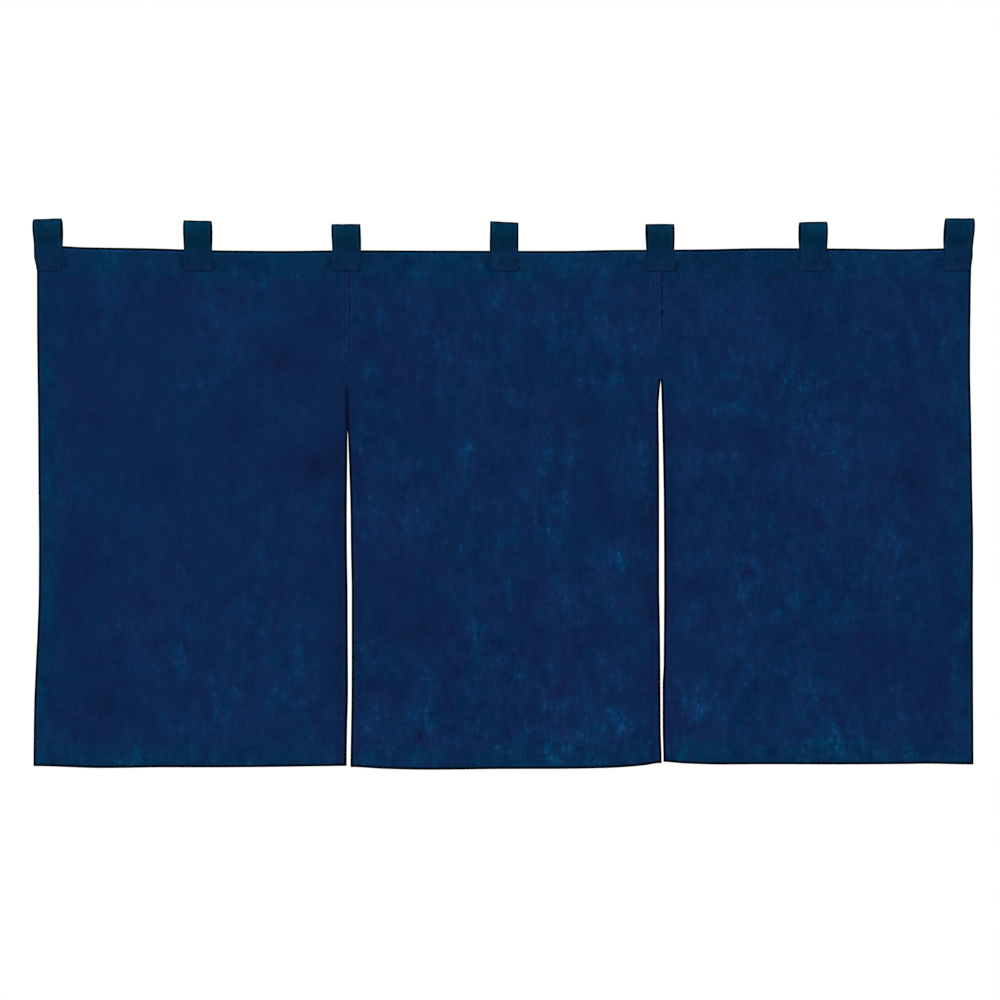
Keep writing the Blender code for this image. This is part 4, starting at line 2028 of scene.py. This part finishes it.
@dataclass
class FelledSeam:
    """The felled seam that joins two panels: one band in front and one behind."""

    name: str
    middle: float
    half_width: float
    stitch_rows: tuple[float, ...]
    foot: float
    sewn_to: float
    tack: float
    head: float = -22.0
    height: float = 0.30 * MM
    bury: float = 0.45 * MM
    rim: float = 2.0 * MM
    trough: float = 0.42 * MM
    pucker: float = 0.16 * MM
    settle: float = 12 * MM
    sunk: float = 0.05 * MM
    # How dark the painted shade along each drawn-in stitch row is
    dark_row: float = 0.54
    step: float = 1.6 * MM
    lift: float = 0.12 * MM
    tack_half: float = 3.6 * MM
    grids: list[ClothGrid] = field(default_factory=list)
    across: np.ndarray | None = None

    def stations(self) -> np.ndarray:
        """Distances from the band's middle, close together at its sides and stitches.

        Returns:
            The distances, from left to right.
        """
        marks = {-self.half_width, self.half_width}
        for side in (-1.0, 1.0):
            marks |= {side * (self.half_width - d) for d in (0.1, 0.35, 0.8, 1.3)}
        for row in self.stitch_rows:
            marks |= {row - 0.9, row - 0.45, row, row + 0.45, row + 0.9}
        return np.array(sorted(marks)) * MM

    def build(self) -> bpy.types.Object:
        """Builds both bands.

        Returns:
            The seam's object.
        """
        self.across = self.stations()
        count = round((self.head - self.foot) * MM / self.step)
        heights = np.linspace(self.head, self.foot, count + 1) * MM
        heights = np.sort(np.concatenate((heights, heights[[0, -1]] + (-0.3 * MM, 0.3 * MM))))
        place, z = np.meshgrid(self.across, heights[::-1], indexing="ij")
        side = self.half_width * MM - abs(place)
        end = np.minimum(z - self.foot * MM, self.head * MM - z)
        edge = np.minimum(side, end)
        round_off = fold_round(edge, self.rim)
        x = place + self.middle * MM + 0.3 * MM * uneven(z, z * 0.0, 30 * MM, self.middle)
        sewn = np.zeros_like(x)
        for i, row in enumerate(self.stitch_rows):
            drawn = np.clip(0.8 + 1.3 * uneven(z, z * 0.0, 6 * MM, Seed.DRAWN + i), 0.1, 1.3)
            until = smooth_step((z - self.sewn_to * MM) / (5 * MM) + 0.5)
            sewn = np.maximum(sewn, dip(place - row * MM, 1.0 * MM) * drawn * until)
        gathers = uneven(z, place * 0.4, 5 * MM, Seed.SEAM_GATHERS) * self.pucker
        settled = smooth_step((z - self.foot * MM) / self.settle)
        sunk = self.sunk * (1.0 - settled)
        rise = (self.height * settled + gathers - sewn * self.trough - sunk) * round_off
        plane = -relief("every", x, z)
        lower = smooth_step((z - self.sewn_to * MM) / (9 * MM) + 0.5)
        marks = {
            "tone": dye_tone_and_painted_shade(x, z),
            "seam": mix(0.05, 0.38, lower) * round_off,
            # Painted shade along the drawn-in stitch rows, and a faint painted highlight on the
            # band between them
            "rim": self.dark_row * sewn - 0.10 * lower * (1.0 - sewn) * round_off,
            "slub": np.full(x.shape, 0.95),
        }
        cloth_map = np.stack((x, z), axis=-1)
        self.grids = []
        for sign, reach in ((-1.0, CLOTH / 2 + HEM_PUFF), (1.0, CLOTH / 2 + HEM_EXTRA)):
            top = plane + sign * (reach + rise)
            under = plane + sign * (reach - self.bury * round_off)
            points = [np.stack((x, y, z), axis=-1) for y in (top, under)]
            self.grids.append(ClothGrid(points[0], points[1], cloth_map, marks))
        return cloth_object(self.name, self.grids)

    def seams(self) -> list[np.ndarray]:
        """The lines of stitches on both bands.

        Returns:
            The lines, each with a point a row.
        """
        found = []
        for grid in self.grids:
            for row in self.stitch_rows:
                column = nearest(self.across, row * MM)
                sewn = int(np.searchsorted(-grid.near[0, :, 2], -self.sewn_to * MM))
                found.append(grid.line(Face.NEAR, column, slice(2, sewn), self.lift))
            inside = np.flatnonzero(abs(self.across) < self.tack_half)
            tack = nearest(grid.near[0, :, 2], self.tack * MM)
            for row in (tack, tack + 1):
                columns = slice(inside[0], inside[-1] + 1)
                found.append(grid.line(Face.NEAR, columns, row, self.lift))
        return found

    def dress(self, piece: bpy.types.Object, finish: bpy.types.Material) -> None:
        """Gives the seam its finish and its place in the model.

        Args:
            piece: The seam's object.
            finish: Its material.
        """
        piece.data.materials.append(finish)
        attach(piece, BODY)


@dataclass(frozen=True)
class Studio:
    """A pale floor, soft light and a camera straight in front of the cloth."""

    lens: float = 85.0
    sensor: float = 36.0
    around: float = 0.41
    key: float = 1.94
    fill: float = 0.4
    back: float = 2.0
    softness: float = 24.0
    floor_drop: float = 1.9
    floor_side: float = 3.4

    def build(self) -> None:
        """Builds the floor, the lights, the world and the camera."""
        self.add_floor()
        self.add_world()
        self.add_light("key_light", (-0.55, -0.72, 0.60), self.key)
        self.add_light("fill_light", (0.60, -0.75, 0.10), self.fill)
        self.add_light("back_light", (0.50, 0.75, 0.55), self.back)
        self.add_camera()
        bpy.context.scene.view_settings.view_transform = "Standard"

    def add_floor(self) -> None:
        """Adds the floor, which ends before the camera's view reaches it."""
        side = self.floor_side
        z = -self.floor_drop
        corners = [(-side, -side, z), (side, -side, z), (side, side, z), (-side, side, z)]
        mesh = bpy.data.meshes.new("floor")
        mesh.from_pydata(corners, [], [(0, 1, 2, 3)])
        mesh.materials.append(PaleFloor().build())
        floor = in_scene("floor", mesh)

    def add_world(self) -> None:
        """Adds even light from all round, and a white surround for the camera."""
        world = bpy.data.worlds.new("studio")
        bpy.context.scene.world = world
        world.use_nodes = True
        tree = world.node_tree
        tree.nodes.clear()
        path = tree.nodes.new("ShaderNodeLightPath")
        lit = tree.nodes.new("ShaderNodeBackground")
        lit.inputs["Strength"].default_value = self.around
        seen = tree.nodes.new("ShaderNodeBackground")
        for background in (lit, seen):
            background.inputs["Color"].default_value = opaque((1.0, 1.0, 1.0))
        chosen = tree.nodes.new("ShaderNodeMixShader")
        out = tree.nodes.new("ShaderNodeOutputWorld")
        tree.links.new(path.outputs["Is Camera Ray"], chosen.inputs[0])
        tree.links.new(lit.outputs["Background"], chosen.inputs[1])
        tree.links.new(seen.outputs["Background"], chosen.inputs[2])
        tree.links.new(chosen.outputs["Shader"], out.inputs["Surface"])

    def add_light(self, name: str, towards: Point, strength: float) -> None:
        """Adds a wide soft light.

        Args:
            name: The light's name.
            towards: The direction from the cloth to the light.
            strength: Its strength.
        """
        data = bpy.data.lights.new(name, "SUN")
        data.energy = strength
        data.angle = math.radians(self.softness)
        light = in_scene(name, data)
        light.rotation_mode = "QUATERNION"
        light.rotation_quaternion = Vector(towards).to_track_quat("Z", "Y")
        light.location = Vector(towards) * 2.0

    def add_camera(self) -> None:
        """Adds the camera, which takes in the photograph's frame at the cloth's plane."""
        width = PHOTO_SIDE * PIXEL
        data = bpy.data.cameras.new("camera")
        data.lens = self.lens
        data.sensor_width = self.sensor
        camera = in_scene("camera", data)
        x = (PHOTO_SIDE / 2 - PHOTO_MIDDLE_X) * PIXEL
        z = (PHOTO_TOP_EDGE - PHOTO_SIDE / 2) * PIXEL
        camera.location = (x, -width * self.lens / self.sensor, z)
        camera.rotation_euler = (math.pi / 2, 0.0, 0.0)
        bpy.context.scene.camera = camera


def panels() -> list[ClothPanel]:
    """The three panels, from left to right.

    Returns:
        The panels, not yet built.
    """
    side = HemSide(SIDE_HEM)
    left_slit = HemSide(SLIT_HEM, 150 * MM)
    right_slit = HemSide(SLIT_HEM, 146 * MM)
    return [
        ClothPanel(
            "cloth_left",
            "left",
            LEFT_EDGE,
            LEFT_SLIT_LEFT_SIDE,
            LEFT_FOOT,
            side,
            left_slit,
            (0.385, 0.640),
            shut_right=True,
            slub_top=0.78,
            slub_foot=1.05,
            ticks=(Level(-182, -156), Level(-182, -160), Level(-182, -164)),
            lap=-0.4 * MM,
            spread=(SPREAD, 0.0),
        ),
        ClothPanel(
            "cloth_centre",
            "centre",
            LEFT_SLIT_RIGHT_SIDE,
            RIGHT_SLIT_LEFT_SIDE,
            CENTRE_FOOT,
            left_slit,
            right_slit,
            (0.372, 0.640),
            shut_left=True,
            lap=3.1 * MM,
            spread=(0.0, 2 * SPREAD),
            slub_top=1.05,
            slub_foot=1.25,
        ),
        ClothPanel(
            "cloth_right",
            "right",
            RIGHT_SLIT_RIGHT_SIDE,
            RIGHT_EDGE,
            RIGHT_FOOT,
            right_slit,
            side,
            (0.385, 0.640),
            spread=(2 * SPREAD, SPREAD),
        ),
    ]


def dress_stitches(piece: bpy.types.Object) -> bpy.types.Object:
    """Gives a mesh of stitches its place in the model.

    Args:
        piece: The stitches.

    Returns:
        The same stitches.
    """
    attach(piece, BODY)
    report(piece)
    return piece


def main() -> None:
    """Builds the curtain's pieces in order, and then the studio."""
    logging.basicConfig(level=logging.INFO, format="%(name)s: %(message)s")
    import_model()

    panel_finish = IndigoCloth("panel_cloth", (0.0043, 0.0210, 0.0790)).build()
    tab_cloth = IndigoCloth("tab_cloth", (0.0035, 0.0236, 0.0772), (0.0014, 0.0245, 0.0615))
    tab_finish = tab_cloth.build()
    sizes = StitchTree()
    tree = sizes.build()
    threads = (
        IndigoThread("hem_thread"),
        IndigoThread("seam_thread", (0.0054, 0.0270, 0.0960), (0.0085, 0.0400, 0.1300)),
        IndigoThread("tab_thread", (0.0075, 0.0370, 0.1250), (0.0115, 0.0530, 0.1650)),
    )
    hem_sewing, seam_sewing, tab_sewing = (Sewing(tree, sizes, t.build()) for t in threads)

    seams = [
        FelledSeam("seam_left", -170.9, 5.6, (-2.0, 2.1), -147.0, -129.0, -140.0),
        FelledSeam("seam_right", 168.9, 6.6, (-4.6, -0.2, 4.4), -142.0, -103.0, -134.0),
    ]
    bands = []
    for seam in seams:
        band = seam.build()
        seam.dress(band, panel_finish)
        stitches = seam_sewing.sew(f"stitches_{seam.name}", seam.seams())
        bands.append([band, dress_stitches(stitches)])
        report(band)

    for panel, extra in zip(panels(), (bands[0], bands[1], [])):
        piece = panel.build()
        stitches = hem_sewing.sew(f"stitches_{panel.key}", panel.seams())
        panel.dress(piece, panel_finish, [*extra, dress_stitches(stitches)])
        report(piece)

    tapers = {"tab_1": (2.6 * MM, 0.0), "tab_7": (0.0, 1.7 * MM)}
    for row in TABS:
        tab = ClothTab(row, tapers.get(row.name, (0.0, 0.0)))
        piece = tab.build()
        stitches = tab_sewing.sew(f"stitches_{row.name}", tab.seams())
        tab.dress(piece, tab_finish, [dress_stitches(stitches)])
        report(piece)

    Studio().build()


if __name__ == "__main__":
    main()
